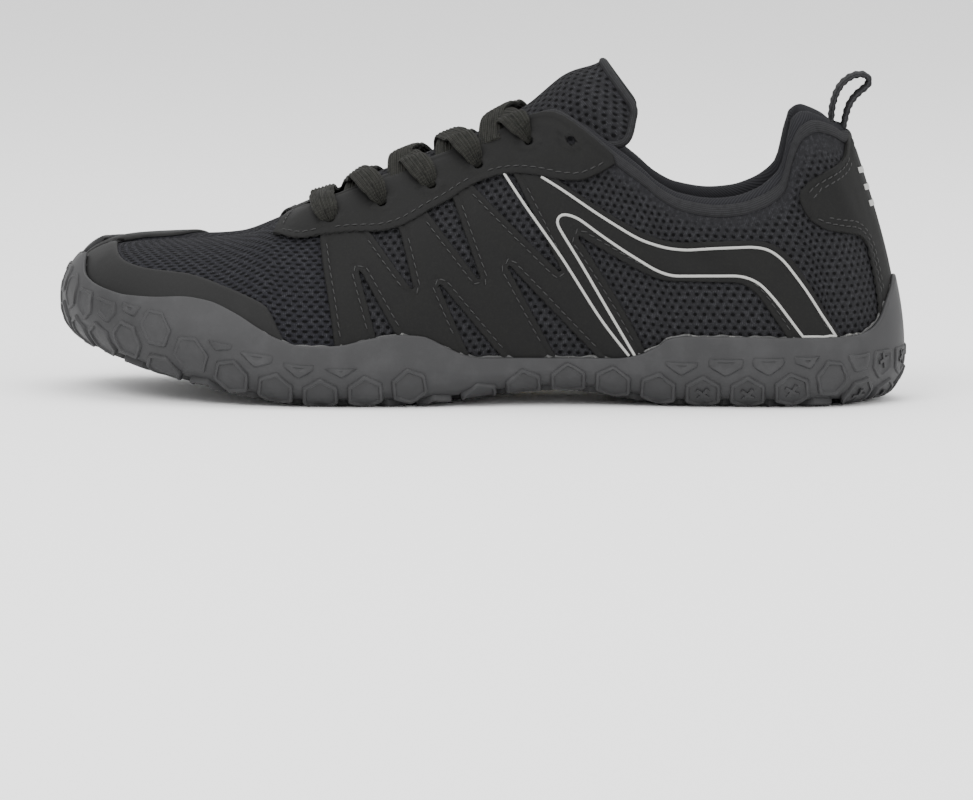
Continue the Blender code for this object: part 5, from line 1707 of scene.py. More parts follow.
@dataclass(frozen=True)
class Insole:
    """The loose foam sock liner with its knit top cloth."""

    thickness: float = 0.0035
    columns: int = 241

    def build(self, look: bpy.types.Material) -> bpy.types.Object:
        """Builds the liner.

        Args:
            look: The finish.

        Returns:
            The finished piece.
        """
        turn = np.linspace(0, 2, self.columns)
        plan = FORM.skin(turn, np.zeros(len(turn)))
        plan += FORM.normal(turn, np.full(len(turn), 0.01)) * -(FORM.wall + 2 * CLEARANCE)
        spine = plan.copy()
        spine[:, 0] = np.clip(plan[:, 0], 0.030, SHOE_LENGTH - 0.036)
        spine[:, 1] = 0
        rows = []
        steps = [(part, 0.0) for part in np.linspace(0, 0.98, 8)]
        steps += [(1.0, 0.15), (1.0, 0.75), (0.985, 0.95)]
        steps += [(part, 1.0) for part in np.linspace(0.96, 0, 14)]
        for part, lift in steps:
            place = spine * (1 - part) + plan * part
            height = FORM.floor(place[:, 0], place[:, 1]) + CLEARANCE + self.thickness * lift
            rows.append(np.column_stack([place[:, :2], height]))
        grid = np.array(rows)
        return dress(lay_grid("sock_liner", grid, grid[..., :2].copy(), smooth=50), look, "lining", "insole")


@dataclass(frozen=True)
class Tongue:
    """The padded tongue: a soft mesh cushion with a bound edge under the throat."""

    thickness: float = 0.0050
    bulge: float = 0.0050
    top: tuple[float, float] = (0.375, 1.190)
    top_side: tuple[float, float] = (0.287, 0.855)
    half_width: float = 0.204
    shift: float = 0.014
    across: int = 61
    along: int = 150
    puff: float = 0.0006
    bend: float = 0.0045
    bound: tuple[float, float] = (0.0014, 0.0018)
    bound_from: int = 30

    def row(self, share: float) -> np.ndarray:
        """Points across the outer face just inside the throat, at even steps."""
        turn = float(turn_of(share))
        closed = share >= VAMP_POINT
        start = 0.90 - 0.08 * float(smoothstep(0.45, 0.60, share))
        levels = np.linspace(start, 1, 24)
        outer_turn, inner_turn = np.full(24, turn), np.full(24, 2 - turn)
        inset = (FORM.pad(outer_turn, levels) + 0.0008)[:, None]
        lateral = FORM.skin(outer_turn, levels) - FORM.normal(outer_turn, levels) * inset
        medial = FORM.skin(inner_turn, levels) - FORM.normal(inner_turn, levels) * inset
        if closed:
            line = np.vstack([lateral[:-1], (lateral[-1] + medial[-1])[None] / 2, medial[-2::-1]])
        else:
            bulge = self.bulge * float(smoothstep(VAMP_POINT - 0.03, 0.66, share))
            part = np.linspace(0, 1, 12)[1:-1, None]
            lift = np.sin(math.pi * part) ** 0.8
            bridge = lateral[-1] * (1 - part) + medial[-1] * part + np.array([0.4, 0, 0.9]) * bulge * lift
            line = np.vstack([lateral, bridge, medial[::-1]])
        return softened(evenly(line, self.across - 1), 3)

    def face(self) -> np.ndarray:
        """The outer face as a grid from the toe end to the free top edge."""
        shares = np.linspace(0.80, 0.445, 44)
        rows = [self.row(float(share)) for share in shares]
        last = rows[-1]
        for part in np.linspace(0, 1, 26)[1:]:
            reach = 1.0 - 0.30 * float(smoothstep(0.60, 1.0, part)) ** 1.5
            angle = np.linspace(1, -1, len(last)) * reach * math.pi / 2
            x0, x1 = self.top_side[0] * SHOE_LENGTH, self.top[0] * SHOE_LENGTH
            z0, z1 = self.top_side[1] * INSTEP_HEIGHT, self.top[1] * INSTEP_HEIGHT
            arc = np.column_stack([
                x0 + (x1 - x0) * np.cos(angle),
                self.half_width * BALL_WIDTH * np.sin(angle) + self.shift * BALL_WIDTH,
                z0 + (z1 - z0) * np.cos(angle),
            ])
            rows.append(last * (1 - part) + arc * part)
        grid = softened(np.array(rows), 6)
        even = [evenly(grid[:, k], self.along) for k in range(grid.shape[1])]
        count = min(len(line) for line in even)
        return np.stack([line[:count] for line in even], 1)

    def build(self, look: bpy.types.Material, trim: bpy.types.Material) -> list[bpy.types.Object]:
        """Builds the tongue and its bound edge.

        Args:
            look: The finish of the cushion.
            trim: The finish of the binding.

        Returns:
            The finished pieces.
        """
        outer = self.face()
        normal = unit(np.cross(np.gradient(outer, axis=1), np.gradient(outer, axis=0)))
        normal *= np.sign(normal[..., 2:3].sum(axis=1, keepdims=True))
        rows, columns = outer.shape[:2]
        u = np.linspace(-1, 1, columns)
        v = np.linspace(0, 1, rows)
        full = 0.30 + 0.70 * np.sqrt(np.clip(1 - u**2, 0, 1))[None, :]
        full = full * (0.45 + 0.55 * smoothstep(0, 0.05, np.minimum(v, 1 - v)))[:, None]
        thickness = (self.thickness * full)[..., None]
        bend = self.bend * smoothstep(0.84, 1.0, v) ** 2
        outer = outer - normal * bend[:, None, None]
        puff = self.puff * np.sqrt(np.clip(1 - u**4, 0, 1))[None, :, None]
        puff = puff * smoothstep(0, 0.08, 1 - v)[:, None, None]
        front = outer + normal * puff * 0.5
        back = outer - normal * thickness
        sheets = np.concatenate([front, back[:, ::-1], front[:, :1]], axis=1)
        run = run_lengths(outer[:, columns // 2])
        width = np.linalg.norm(np.diff(outer, axis=1), axis=2).sum(1)
        ahead = np.linspace(-0.5, 0.5, columns)[None] * width[:, None]
        uv = np.stack([np.repeat(run[:, None], columns, 1), ahead], -1)
        uv = np.concatenate([uv, uv[:, ::-1] + [0.01, 0.01], uv[:, :1]], axis=1)
        middle = (front + back) / 2
        ends = [np.concatenate([middle[k], middle[k, ::-1], front[k, :1]]) for k in (0, -1)]
        sheets = np.concatenate([ends[0][None], sheets, ends[1][None]])
        uv = np.concatenate([uv[:1], uv, uv[-1:]])
        weave = np.ones(sheets.shape[:2])
        piece = lay_grid("tongue_cushion", sheets, uv, merge=0.00005, smooth=60, values=weave)
        dress(piece, look, "mesh", "tongue")
        rim, facing = (
            np.vstack([sheet[:, 0], sheet[-1, 1:-1], sheet[::-1, -1]])
            for sheet in (middle[self.bound_from :], normal[self.bound_from :])
        )
        line = along_line(softened(rim.copy(), 4), 0.0012, False)
        near = [int(np.argmin(((rim - place) ** 2).sum(1))) for place in line]
        out = unit(facing[near])
        aside = unit(np.cross(out, np.gradient(line, axis=0)))
        grid, uv = with_ends(*sweep(line, aside, out, oval(*self.bound, 16)), 0.0006)
        edge = dress(lay_grid("tongue_binding", grid, uv, smooth=70), trim, "lining")
        return [piece, edge]


@dataclass(frozen=True)
class Lacing:
    """The flat woven lace: a bar over the lowest holes and crossed runs up the tongue."""

    width: float = 0.0086
    thickness: float = 0.0020
    steps: int = 56
    upward: tuple[float, float, float] = (0.42, 0.0, 0.91)
    probes: tuple[float, float, float] = (-0.42, 0.0, 0.42)
    past_bar: float = 0.0014
    past_hole: float = 0.0012
    sink: tuple[float, float] = (0.0010, 0.0022)
    gather_length: float = 0.0058
    hidden: float = 0.45

    def ribbon(
        self, start: Vector, end: Vector, trees: Sequence[BVHTree], lift: float, hidden: float
    ) -> tuple[np.ndarray, np.ndarray, np.ndarray]:
        """Finds the tight line of one run over the pieces below it.

        Args:
            start: The hidden end.
            end: The hole's end.
            trees: The pieces below.
            lift: Extra height where runs cross.
            hidden: The first part of the run, which only the first piece lies below.

        Returns:
            The line, the direction across it and the direction out of it.
        """
        up = Vector(self.upward).normalized()
        run = end - start
        ahead = (run - up * run.dot(up)).normalized()
        side = up.cross(ahead).normalized()
        best = np.full((self.steps, 3), -1.0)
        for k in range(self.steps):
            base = start + run * (k / (self.steps - 1))
            for n, offset in enumerate(self.probes):
                origin = base + side * self.width * offset + up * 0.05
                for tree in trees if k > hidden * self.steps else trees[:1]:
                    hit = tree.ray_cast(origin, -up, 0.10)
                    if hit[0] is not None:
                        best[k, n] = max(best[k, n], hit[0].dot(up))
            best[k, best[k] < -0.5] = base.dot(up) - 0.002
        middle = best.max(1) * 0.35 + best[:, 1] * 0.65 + 0.0003 + self.thickness / 2 + lift
        middle[-1] = best[-1].mean() + self.thickness * 0.2
        along = np.array([k / (self.steps - 1) for k in range(self.steps)]) * run.dot(ahead)
        hull = self.taut(np.column_stack([along, middle]))
        height = np.interp(along, hull[:, 0], hull[:, 1])
        height = np.maximum(softened(height.copy(), 6), height)
        tilt = softened((best[:, 2] - best[:, 0]) / (0.84 * self.width), 8)
        tilt = np.clip(tilt, -0.6, 0.6) * 0.9
        origin = np.array(start - up * start.dot(up))
        line = origin + np.outer(along, np.array(ahead)) + np.outer(height, np.array(up))
        across = unit(np.array(side)[None] + np.array(up)[None] * tilt[:, None])
        out = unit(np.cross(np.gradient(line, axis=0), -across))
        out *= np.sign(out @ np.array(up))[:, None]
        return line, across, out

    def taut(self, profile: np.ndarray) -> np.ndarray:
        """The tight line over a row of (along, up) points: its upper hull."""
        hull = []
        for point in profile:
            while len(hull) > 1:
                (x0, y0), (x1, y1) = hull[-2], hull[-1]
                if (x1 - x0) * (point[1] - y0) - (y1 - y0) * (point[0] - x0) < 0:
                    break
                hull.pop()
            hull.append(tuple(point))
        return np.array(hull)

    def gathered(self, gone: np.ndarray, power: float) -> np.ndarray:
        """How far the lace spreads at a distance from the hole that gathers it, as a share of its width."""
        spread = np.sqrt(np.clip(gone / self.gather_length, 0, 1)) ** power
        return 0.26 + 0.74 * np.sin(spread * math.pi / 2)

    def sunk(self, gone: np.ndarray) -> np.ndarray:
        """How deep the lace has gone into its hole at a distance from it."""
        return (self.sink[0] * smoothstep(self.sink[1], 0.0, gone))[:, None]

    def build(self, under: Sequence[bpy.types.Object], look: bpy.types.Material) -> None:
        """Laces the shoe.

        Args:
            under: The pieces that the lace lies on.
            look: The finish.
        """
        bpy.context.view_layer.update()
        graph = bpy.context.evaluated_depsgraph_get()
        trees = [BVHTree.FromObject(piece, graph) for piece in under]
        shift = Vector((-HEEL_SEAT, 0, 0))
        profile = ribbed_band((self.width, self.thickness), 7, 0.00020, (3.2, 6.0), 43)
        pieces = []
        for row in range(LACED):
            share, level = EYELETS[row]
            turn = float(turn_of(share))
            if row == 0:
                ends = [Vector(FORM.skin(np.array(t), np.array(level))) + shift for t in (turn, 2 - turn)]
                reach = (ends[0] - ends[1]).normalized() * self.past_bar
                runs = [(ends[1] - reach, ends[0] + reach, 0.0)]
            else:
                runs = []
                for number, (mine, other) in enumerate(((turn, 2 - turn), (2 - turn, turn))):
                    hole = Vector(FORM.skin(np.array(mine), np.array(level))) + shift
                    low = float(turn_of(EYELETS[row - 1][0] - 0.012))
                    low = low if other < 1 else 2 - low
                    edge = Vector(FORM.skin(np.array(low), np.array(0.90))) + shift
                    hole = hole + (hole - edge).normalized() * self.past_hole
                    lift = self.thickness * (0.25 + 0.75 * ((row + number) % 2))
                    runs.append((edge, hole, lift))
            for number, (start, end, lift) in enumerate(runs):
                line, across, out = self.ribbon(start, end, trees, lift, self.hidden if row else 0.0)
                part = np.linspace(0, 1, len(line))
                length = float((end - start).length)
                gone = (1 - part) * length
                width = self.gathered(gone, 0.9)
                line = line - out * self.sunk(gone)
                if row == 0:
                    width = np.minimum(width, self.gathered(part * length, 1.0))
                    line = line - out * self.sunk(part * length)
                gather = np.column_stack([width, 1 + 0.35 * (1 - width)])
                grid, uv = with_ends(*sweep(line, across, out, profile, scale=gather), 0.0003)
                uv = uv + np.array([0.0, 0.137 * (2 * row + number)])
                pieces.append(lay_grid(f"lace_{row}_{number}", grid + [HEEL_SEAT, 0, 0], uv, smooth=55))
        dress(joined("lace_runs", pieces), look, "lace", "lace")


@dataclass(frozen=True)
class PullLoop:
    """The woven webbing loop at the heel's top."""

    width: float = 0.0110
    thickness: float = 0.0017
    seat: float = 0.943
    step: float = 0.0006
    weft: float = 0.0024
    line: tuple[tuple[float, float], ...] = (
        (0.076, 0.0000), (0.073, 0.0041), (0.068, 0.0071), (0.059, 0.0099), (0.049, 0.0118), (0.046, 0.0136),
        (0.049, 0.0153), (0.057, 0.0159), (0.070, 0.0149), (0.081, 0.0123), (0.0875, 0.0086), (0.091, 0.0046),
        (0.092, 0.0000),
    )

    def build(self, look: bpy.types.Material) -> None:
        """Builds the loop.

        Args:
            look: The finish.
        """
        bent = np.array([(x * SHOE_LENGTH, 0, self.seat * HEEL_TAB_HEIGHT + z) for x, z in self.line])
        start = bent[0] + unit(bent[0] - bent[1]) * 0.0020
        end = bent[-1] + unit(bent[-1] - bent[-2]) * 0.0020
        bent = along_line(np.vstack([start, bent, end]), self.step, False)
        bent = softened(bent, 10)
        across = np.repeat(np.array([[0.0, 1.0, 0.0]]), len(bent), 0)
        out = unit(np.cross(np.gradient(bent, axis=0), across))
        profile = ribbed_band((self.width, self.thickness), 9, 0.00012, (7.0, 8.0), 41)
        beat = np.sin(np.arange(len(bent)) * self.step * 2 * math.pi / self.weft)
        braid = np.column_stack([1 + 0.03 * beat, 1 + 0.16 * beat])
        grid, uv = with_ends(*sweep(bent, across, out, profile, scale=braid))
        dress(lay_grid("heel_webbing_loop", grid, uv, smooth=55), look, "webbing", "pull_loop")


@dataclass(frozen=True)
class HeelBars:
    """Three light reflective bars on the heel's centre back."""

    heights: tuple[float, ...] = (0.0759, 0.0703, 0.0650)
    half_width: float = 0.0080
    bar: float = 0.0020
    rise: float = 0.00022
    stand: float = 0.00115

    def build(self, look: bpy.types.Material) -> None:
        """Builds the bars.

        Args:
            look: The finish.
        """
        pieces = []
        levels = np.linspace(0, 1, 401)
        turn = np.linspace(-0.12, 0.12, 81)
        for number, height in enumerate(self.heights):
            ribs = (FORM.skin(np.full(401, one), levels)[:, 2] for one in turn)
            at = np.array([np.interp(height, rib, levels) for rib in ribs])
            kept = np.abs(FORM.skin(turn, at)[:, 1]) <= self.half_width
            place, level = turn[kept], at[kept]
            out = FORM.normal(place, level)
            line = FORM.layer(place, level, np.full(len(place), self.stand))
            aside = unit(np.cross(out, np.gradient(line, axis=0)))
            angle = np.linspace(0, 2 * math.pi, 17)[:-1]
            square = np.column_stack([np.sign(np.cos(angle)) * np.abs(np.cos(angle)) ** 0.4, np.sin(angle)])
            profile = square * [self.bar / 2, self.rise]
            grid, uv = with_ends(*sweep(line, aside, out, profile))
            pieces.append(lay_grid(f"bar_{number}", grid, uv, smooth=60))
        dress(joined("heel_bars", pieces), look, "accent")


def linear(code: str) -> tuple[float, float, float, float]:
    """Turns an sRGB hex colour into the linear one that shaders take.

    Args:
        code: The colour, for example "#2b2b29".

    Returns:
        Red, green, blue and an alpha of 1.
    """
    values = [int(code[k : k + 2], 16) / 255 for k in (1, 3, 5)]
    made = [v / 12.92 if v <= 0.04045 else ((v + 0.055) / 1.055) ** 2.4 for v in values]
    return (made[0], made[1], made[2], 1.0)


class Recipe:
    """A material's node tree while it is put together."""

    def __init__(self, name: str) -> None:
        """Starts a material with only its output and surface shader.

        Args:
            name: The material's name.
        """
        self.material = bpy.data.materials.new(name)
        self.material.use_nodes = True
        self.tree = self.material.node_tree
        self.tree.nodes.clear()
        self.shader = self.add("ShaderNodeBsdfPrincipled")
        output = self.add("ShaderNodeOutputMaterial")
        self.tree.links.new(self.shader.outputs[0], output.inputs["Surface"])

    def add(self, kind: str, inputs: dict | None = None, **settings: object) -> bpy.types.Node:
        """Adds one node.

        Args:
            kind: The node's type.
            inputs: Values or other nodes' sockets, by the input's name or number.
            settings: The node's own properties.

        Returns:
            The node.
        """
        node = self.tree.nodes.new(kind)
        for name, value in settings.items():
            setattr(node, name, value)
        for name, value in (inputs or {}).items():
            self.feed(node.inputs[name], value)
        return node

    def feed(self, socket: bpy.types.NodeSocket, value: object) -> None:
        """Links another node's socket to an input, or sets the input to a value."""
        if isinstance(value, bpy.types.NodeSocket):
            self.tree.links.new(value, socket)
        else:
            socket.default_value = value

    def math(self, operation: str, *values: object) -> bpy.types.NodeSocket:
        """Adds a math node and returns its value."""
        return self.add("ShaderNodeMath", dict(enumerate(values)), operation=operation).outputs[0]

    def ramp(self, value: bpy.types.NodeSocket, low: float, high: float) -> bpy.types.NodeSocket:
        """A soft step from 0 at low to 1 at high."""
        node = self.add(
            "ShaderNodeMapRange", {"Value": value, "From Min": low, "From Max": high},
            interpolation_type="SMOOTHSTEP",
        )
        return node.outputs["Result"]

    def uv(self) -> tuple[bpy.types.NodeSocket, bpy.types.NodeSocket]:
        """The piece's own surface coordinates in metres."""
        chart = self.add("ShaderNodeUVMap", uv_map="UVMap")
        parts = self.add("ShaderNodeSeparateXYZ", {0: chart.outputs["UV"]})
        return parts.outputs["X"], parts.outputs["Y"]

    def noise(self, size: float, detail: float = 3.0, rough: float = 0.5) -> bpy.types.NodeSocket:
        """Noise over the object's own space whose features have about the given size in metres."""
        place = self.add("ShaderNodeTexCoord").outputs["Object"]
        inputs = {"Vector": place, "Scale": 1 / size, "Detail": detail, "Roughness": rough}
        return self.add("ShaderNodeTexNoise", inputs).outputs["Fac"]

    def mix(self, part: object, first: object, second: object) -> bpy.types.NodeSocket:
        """Mixes two colours."""
        node = self.add("ShaderNodeMix", data_type="RGBA")
        for number, value in ((0, part), (6, first), (7, second)):
            self.feed(node.inputs[number], value)
        return node.outputs[2]

    def wave(self, value: bpy.types.NodeSocket, pitch: float) -> bpy.types.NodeSocket:
        """A wave from 0 to 1 with a pitch in metres."""
        turned = self.math("MULTIPLY", value, 2 * math.pi / pitch)
        return self.math("MULTIPLY_ADD", self.math("SINE", turned), 0.5, 0.5)

    def bump(
        self, height: bpy.types.NodeSocket, depth: float, under: bpy.types.NodeSocket | None = None
    ) -> bpy.types.NodeSocket:
        """Turns a height into a normal; depth is the real height of 1 in metres."""
        inputs = {"Height": height, "Distance": depth, "Strength": 1.0}
        if under is not None:
            inputs["Normal"] = under
        return self.add("ShaderNodeBump", inputs).outputs["Normal"]

    def surface(self, **inputs: object) -> bpy.types.Material:
        """Sets the shader's inputs, written with _ for a space, and returns the material."""
        for name, value in inputs.items():
            self.feed(self.shader.inputs[name.replace("_", " ")], value)
        return self.material


@dataclass(frozen=True)
class AirMesh:
    """Warp-knit polyester air mesh, which gives the eye rows of dark pores in a dull fine-ribbed cloth. The
    pores' darkness is painted shade where the holes open onto the dark inside, and the lighter flecks on the
    yarn's crests are partly random tone and partly painted highlight.
    """

    name: str = "air mesh"
    thread: str = "#202022"
    toe_thread: str = "#1f1f23"
    # Colour of the flecks on the yarn's crests: partly random tone, partly painted highlight.
    fleck: str = "#4c4c50"
    # Near-black colour of the pores: painted shade in the holes.
    shaded_pore: str = "#050506"
    toe_pitch: tuple[float, float] = (0.0035, 0.0017)
    side_pitch: tuple[float, float] = (0.0031, 0.0022)
    toe_pore: tuple[float, float] = (0.00105, 0.00050)
    side_pore: tuple[float, float] = (0.00072, 0.00062)
    border: tuple[float, float] = (0.2015, 0.2030)

    def pores(
        self, recipe: Recipe, u: bpy.types.NodeSocket, v: bpy.types.NodeSocket, pitch: tuple[float, float],
        shaded_pore: tuple[float, float],
    ) -> bpy.types.NodeSocket:
        """A field that is 0 in the middle of each pore and 1 at its edge, in staggered rows."""
        row = recipe.math("DIVIDE", v, pitch[1])
        odd = recipe.math("FLOORED_MODULO", recipe.math("FLOOR", row), 2.0)
        column = recipe.math("MULTIPLY_ADD", odd, 0.5, recipe.math("DIVIDE", u, pitch[0]))
        x = recipe.math("SUBTRACT", recipe.math("FRACT", column), 0.5)
        y = recipe.math("SUBTRACT", recipe.math("FRACT", row), 0.5)
        x = recipe.math("MULTIPLY", x, pitch[0] / shaded_pore[0])
        y = recipe.math("MULTIPLY", y, pitch[1] / shaded_pore[1])
        square = recipe.math("ADD", recipe.math("MULTIPLY", x, x), recipe.math("MULTIPLY", y, y))
        return recipe.math("SQRT", square)

    def make(self) -> bpy.types.Material:
        """Makes the material."""
        recipe = Recipe(self.name)
        u, v = recipe.uv()
        wobble = recipe.math("MULTIPLY_ADD", recipe.noise(0.004, 2.0), 0.0004, v)
        front = self.pores(recipe, u, wobble, self.toe_pitch, self.toe_pore)
        side = self.pores(recipe, u, wobble, self.side_pitch, self.side_pore)
        part = recipe.ramp(u, *self.border)
        field = recipe.add("ShaderNodeMix", {0: part, 2: side, 3: front}, data_type="FLOAT").outputs[0]
        weave = recipe.add("ShaderNodeAttribute", attribute_name="weave").outputs["Fac"]
        # Where the pores are, the cloth turns near black: painted shade in the holes.
        pore_shade_mask = recipe.math("SUBTRACT", 1.0, recipe.ramp(field, 0.70, 1.10))
        pore_shade_mask = recipe.math("MULTIPLY", pore_shade_mask, recipe.math("MAXIMUM", weave, 0.0))
        rib = recipe.wave(v, 0.00042)
        stitch = recipe.wave(recipe.math("MULTIPLY_ADD", rib, 0.0002, u), 0.00060)
        yarn = recipe.math("MULTIPLY", rib, stitch)
        # Lighter flecks where the yarn stands highest and the noise allows: painted highlight on the crests,
        # broken up at random.
        fleck = recipe.math("MULTIPLY", yarn, recipe.ramp(recipe.noise(0.0011, 2.0), 0.42, 0.72))
        ground = recipe.mix(part, linear(self.thread), linear(self.toe_thread))
        cloth = recipe.mix(recipe.math("MULTIPLY", fleck, 0.75), ground, linear(self.fleck))
        colour = recipe.mix(pore_shade_mask, cloth, linear(self.shaded_pore))
        swell = recipe.ramp(field, 0.55, 1.75)
        swell = recipe.add("ShaderNodeMix", {0: weave, 2: 1.0, 3: swell}, data_type="FLOAT").outputs[0]
        normal = recipe.bump(swell, 0.00060)
        normal = recipe.bump(yarn, 0.00016, normal)
        return recipe.surface(Base_Color=colour, Roughness=0.90, Normal=normal, Specular_IOR_Level=0.12)


@dataclass(frozen=True)
class SyntheticLeather:
    """Matte microfibre leather, which gives the eye a soft mottled face with a fine grain and low gloss."""

    name: str = "matte synthetic leather"
    base: str = "#0e0e0e"
    worn: str = "#181817"
    roughness: float = 0.66
    grain: float = 0.00005

    def make(self) -> bpy.types.Material:
        """Makes the material."""
        recipe = Recipe(self.name)
        cloud = recipe.ramp(recipe.noise(0.012, 5.0, 0.62), 0.35, 0.70)
        speck = recipe.ramp(recipe.noise(0.0008, 3.0), 0.45, 0.75)
        part = recipe.math("MULTIPLY_ADD", cloud, 0.45, recipe.math("MULTIPLY", speck, 0.35))
        colour = recipe.mix(part, linear(self.base), linear(self.worn))
        normal = recipe.bump(recipe.noise(0.00055, 4.0, 0.6), self.grain)
        rough = recipe.math("MULTIPLY_ADD", cloud, 0.10, self.roughness)
        return recipe.surface(Base_Color=colour, Roughness=rough, Normal=normal, Specular_IOR_Level=0.16)


@dataclass(frozen=True)
class MouldedRubber:
    """Matte moulded rubber, which gives the eye an even dull grey with a faint skin and dusty patches."""

    name: str = "moulded rubber"
    base: str = "#29292a"
    dust: str = "#373738"
    roughness: float = 0.58

    def make(self) -> bpy.types.Material:
        """Makes the material."""
        recipe = Recipe(self.name)
        dust = recipe.ramp(recipe.noise(0.009, 6.0, 0.65), 0.40, 0.75)
        colour = recipe.mix(recipe.math("MULTIPLY", dust, 0.7), linear(self.base), linear(self.dust))
        normal = recipe.bump(recipe.noise(0.00045, 3.0), 0.00003)
        rough = recipe.math("MULTIPLY_ADD", dust, 0.12, self.roughness)
        return recipe.surface(Base_Color=colour, Roughness=rough, Normal=normal, Specular_IOR_Level=0.30)


@dataclass(frozen=True)
class RibbedWeave:
    """Woven tape or lace, which gives the eye small slanted stitches between ribs that run along it. Its
    colour is darker in the grooves and lighter on the crests, as painted shade and painted highlight, broken
    up by noise.
    """

    name: str
    base: str
    # Colour on the crests of the ribs and stitches, against base in the grooves: painted highlight and
    # painted shade.
    light: str
    rib: float
    stitch: float
    depth: float = 0.00012
    slant: float = 0.6

    def make(self) -> bpy.types.Material:
        """Makes the material."""
        recipe = Recipe(self.name)
        u, v = recipe.uv()
        saw = recipe.math("PINGPONG", u, self.rib)
        turned = recipe.math("MULTIPLY_ADD", saw, self.slant, v)
        stitches = recipe.wave(turned, self.stitch)
        ribs = recipe.math("SINE", recipe.math("MULTIPLY", saw, math.pi / self.rib))
        height = recipe.math("MULTIPLY", ribs, recipe.math("MULTIPLY_ADD", stitches, 0.5, 0.5))
        # The colour follows the relief: base in the grooves as painted shade, the lighter colour on the
        # crests as painted highlight, where the noise allows.
        part = recipe.math("MULTIPLY", height, recipe.ramp(recipe.noise(0.0016, 2.0), 0.05, 0.60))
        colour = recipe.mix(part, linear(self.base), linear(self.light))
        normal = recipe.bump(height, self.depth)
        return recipe.surface(Base_Color=colour, Roughness=0.85, Normal=normal, Specular_IOR_Level=0.15)


@dataclass(frozen=True)
class TwillLining:
    """Brushed lining cloth, which gives the eye fine slanted lines on a dark soft ground; the lines are
    lighter on the twill's ridges and darker between them, as painted highlight and painted shade.
    """

    name: str = "twill lining"
    base: str = "#19191b"
    # Colour on the twill's ridges, against base between them: painted highlight and painted shade.
    light: str = "#2a2a2d"
    pitch: float = 0.0011

    def make(self) -> bpy.types.Material:
        """Makes the material."""
        recipe = Recipe(self.name)
        u, v = recipe.uv()
        lines = recipe.wave(recipe.math("MULTIPLY_ADD", v, 0.9, u), self.pitch)
        threads = recipe.wave(recipe.math("SUBTRACT", v, u), self.pitch * 0.45)
        height = recipe.math("MULTIPLY_ADD", threads, 0.25, lines)
        # The colour follows the twill's relief: painted shade between the lines, painted highlight on them.
        colour = recipe.mix(recipe.math("MULTIPLY", height, 0.6), linear(self.base), linear(self.light))
        normal = recipe.bump(height, 0.00010)
        return recipe.surface(Base_Color=colour, Roughness=0.9, Normal=normal, Specular_IOR_Level=0.10)


@dataclass(frozen=True)
class Thread:
    """Bonded polyester thread, which gives the eye small rounded stitches with a faint shine."""

    name: str = "bonded thread"
    base: str = "#262626"

    def make(self) -> bpy.types.Material:
        """Makes the material."""
        return Recipe(self.name).surface(Base_Color=linear(self.base), Roughness=0.55, Specular_IOR_Level=0.3)


@dataclass(frozen=True)
class ReflectiveFilm:
    """Glass-bead film, which gives the eye a pale even silver that stays bright at every angle."""

    name: str = "reflective film"
    base: str = "#9a9a97"
    roughness: float = 0.42

    def make(self) -> bpy.types.Material:
        """Makes the material."""
        recipe = Recipe(self.name)
        grain = recipe.noise(0.0003, 2.0)
        colour = recipe.mix(recipe.math("MULTIPLY", grain, 0.4), linear(self.base), linear("#8f8f8c"))
        return recipe.surface(
            Base_Color=colour, Metallic=0.15, Roughness=self.roughness, Normal=recipe.bump(grain, 0.00002),
        )


@dataclass(frozen=True)
class GlueBead:
    """Dried cement at the rubber's edge, which gives the eye small pale flecks in a dark line."""

    name: str = "dried cement"
    base: str = "#2c2c2c"
    fleck: str = "#60605e"

    def make(self) -> bpy.types.Material:
        """Makes the material."""
        recipe = Recipe(self.name)
        spots = recipe.ramp(recipe.noise(0.0022, 4.0, 0.7), 0.56, 0.66)
        colour = recipe.mix(spots, linear(self.base), linear(self.fleck))
        return recipe.surface(Base_Color=colour, Roughness=0.35, Normal=recipe.bump(spots, 0.0001))


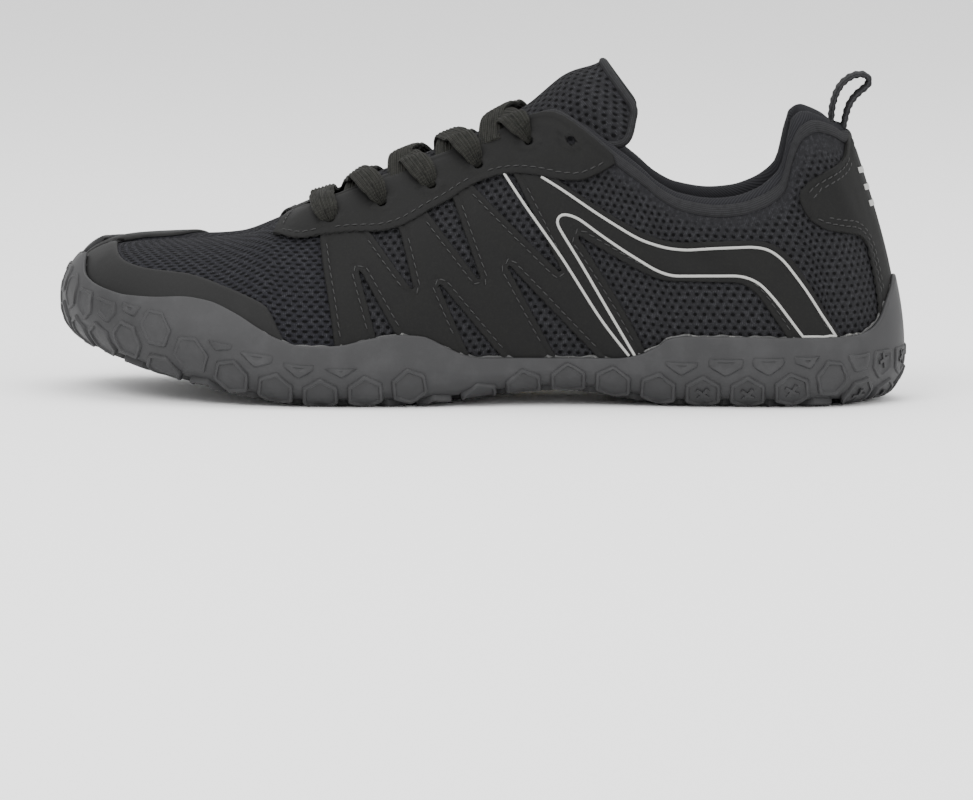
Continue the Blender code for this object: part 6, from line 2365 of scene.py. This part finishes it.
@dataclass(frozen=True)
class Studio:
    """The pale room, its soft lights and the camera at the photo's place."""

    target: tuple[float, float, float] = (0.09285, 0.0450, 0.0025)
    rise: float = 6.0
    distance: float = 2.4
    lens: float = 272.0
    roll: float = 0.6
    aim: tuple[float, float, float] = (0.09, 0.0, 0.05)
    daylight: float = 1.35

    def light(self, name: str, place: Sequence[float], size: float, power: float) -> None:
        """Adds one soft square light that points at the shoe."""
        bpy.ops.object.light_add(type="AREA", location=place)
        lamp = bpy.context.object
        lamp.name = name
        lamp.data.shape = "SQUARE"
        lamp.data.size = size
        lamp.data.energy = power
        lamp.rotation_euler = (Vector(self.aim) - Vector(place)).to_track_quat("-Z", "Y").to_euler()

    def build(self) -> None:
        """Builds the floor, the lights and the camera."""
        deselect()
        recipe = Recipe("pale studio floor")
        recipe.surface(Base_Color=linear("#fafafa"), Roughness=0.9)
        bpy.ops.mesh.primitive_plane_add(size=8, location=(0, 0, -0.0002))
        floor = bpy.context.object
        floor.name = "studio_floor"
        floor.data.materials.append(recipe.material)
        world = bpy.data.worlds.new("pale studio")
        world.use_nodes = True
        sky = world.node_tree.nodes["Background"]
        sky.inputs["Color"].default_value = linear("#ffffff")
        sky.inputs["Strength"].default_value = self.daylight
        bpy.context.scene.world = world
        self.light("key", (0.75, 1.10, 1.30), 1.0, 22.0)
        self.light("top", (-0.10, -0.20, 1.60), 1.4, 20.0)
        self.light("fill", (-1.00, 1.20, 0.55), 1.0, 9.0)
        bpy.ops.object.camera_add()
        camera = bpy.context.object
        camera.name = "photo_camera"
        camera.data.lens = self.lens
        angle = math.radians(self.rise)
        back = Vector((0, math.cos(angle), math.sin(angle)))
        camera.location = Vector(self.target) + back * self.distance
        roll = Matrix.Rotation(math.radians(self.roll), 3, Vector((0, 0, 1)))
        camera.rotation_euler = (back.to_track_quat("Z", "Y").to_matrix() @ roll).to_euler()
        bpy.context.scene.camera = camera


def main() -> None:
    """Builds and dresses every piece."""
    logging.basicConfig(level=logging.INFO, format="%(message)s")
    mesh_look = AirMesh().make()
    lining = TwillLining().make()
    leather = SyntheticLeather().make()
    weld = SyntheticLeather("welded toe film", "#141414", "#1c1c1c", 0.60, 0.00003).make()
    rubber = MouldedRubber().make()
    insert = MouldedRubber("yellow insert rubber", "#dcb800", "#cfab00", 0.50).make()
    # Each woven finish takes a groove colour and a lighter crest colour: painted shade and painted highlight.
    lace_look = RibbedWeave("woven lace", "#0b0b0a", "#33332f", 0.00057, 0.0010, 0.00022).make()
    tape = RibbedWeave("knitted binding tape", "#19191a", "#2b2b2d", 0.0007, 0.0006, 0.00010).make()
    webbing = RibbedWeave("webbing", "#1a1a1b", "#343436", 0.0012, 0.0010, 0.00018, 0.9).make()
    film = ReflectiveFilm().make()
    thread = Thread().make()
    glue = GlueBead().make()
    sock = RibbedWeave("sock liner knit", "#19191b", "#2b2b2e", 0.0011, 0.0009, 0.00008, 0.5).make()

    knit = KnitUpper()
    shell = knit.build(mesh_look, lining)
    knit.binding(tape)
    Overlays().build(leather, weld, thread)
    Piping().build(film)
    sole = Outsole()
    sole.build_cup(rubber)
    sole.build_lugs(rubber)
    sole.build_glue(glue)
    Insole().build(sock)
    tongue, tongue_edge = Tongue().build(mesh_look, tape)
    stays = [bpy.data.objects[f"eyestay_{side.label}"] for side in Side]
    Lacing().build([tongue, shell, *stays], lace_look)
    PullLoop().build(webbing)
    HeelBars().build(film)
    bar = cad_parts["arch_insert"]
    bar.data.materials.clear()
    bar.data.materials.append(insert)
    Studio().build()


if __name__ == "__main__":
    main()
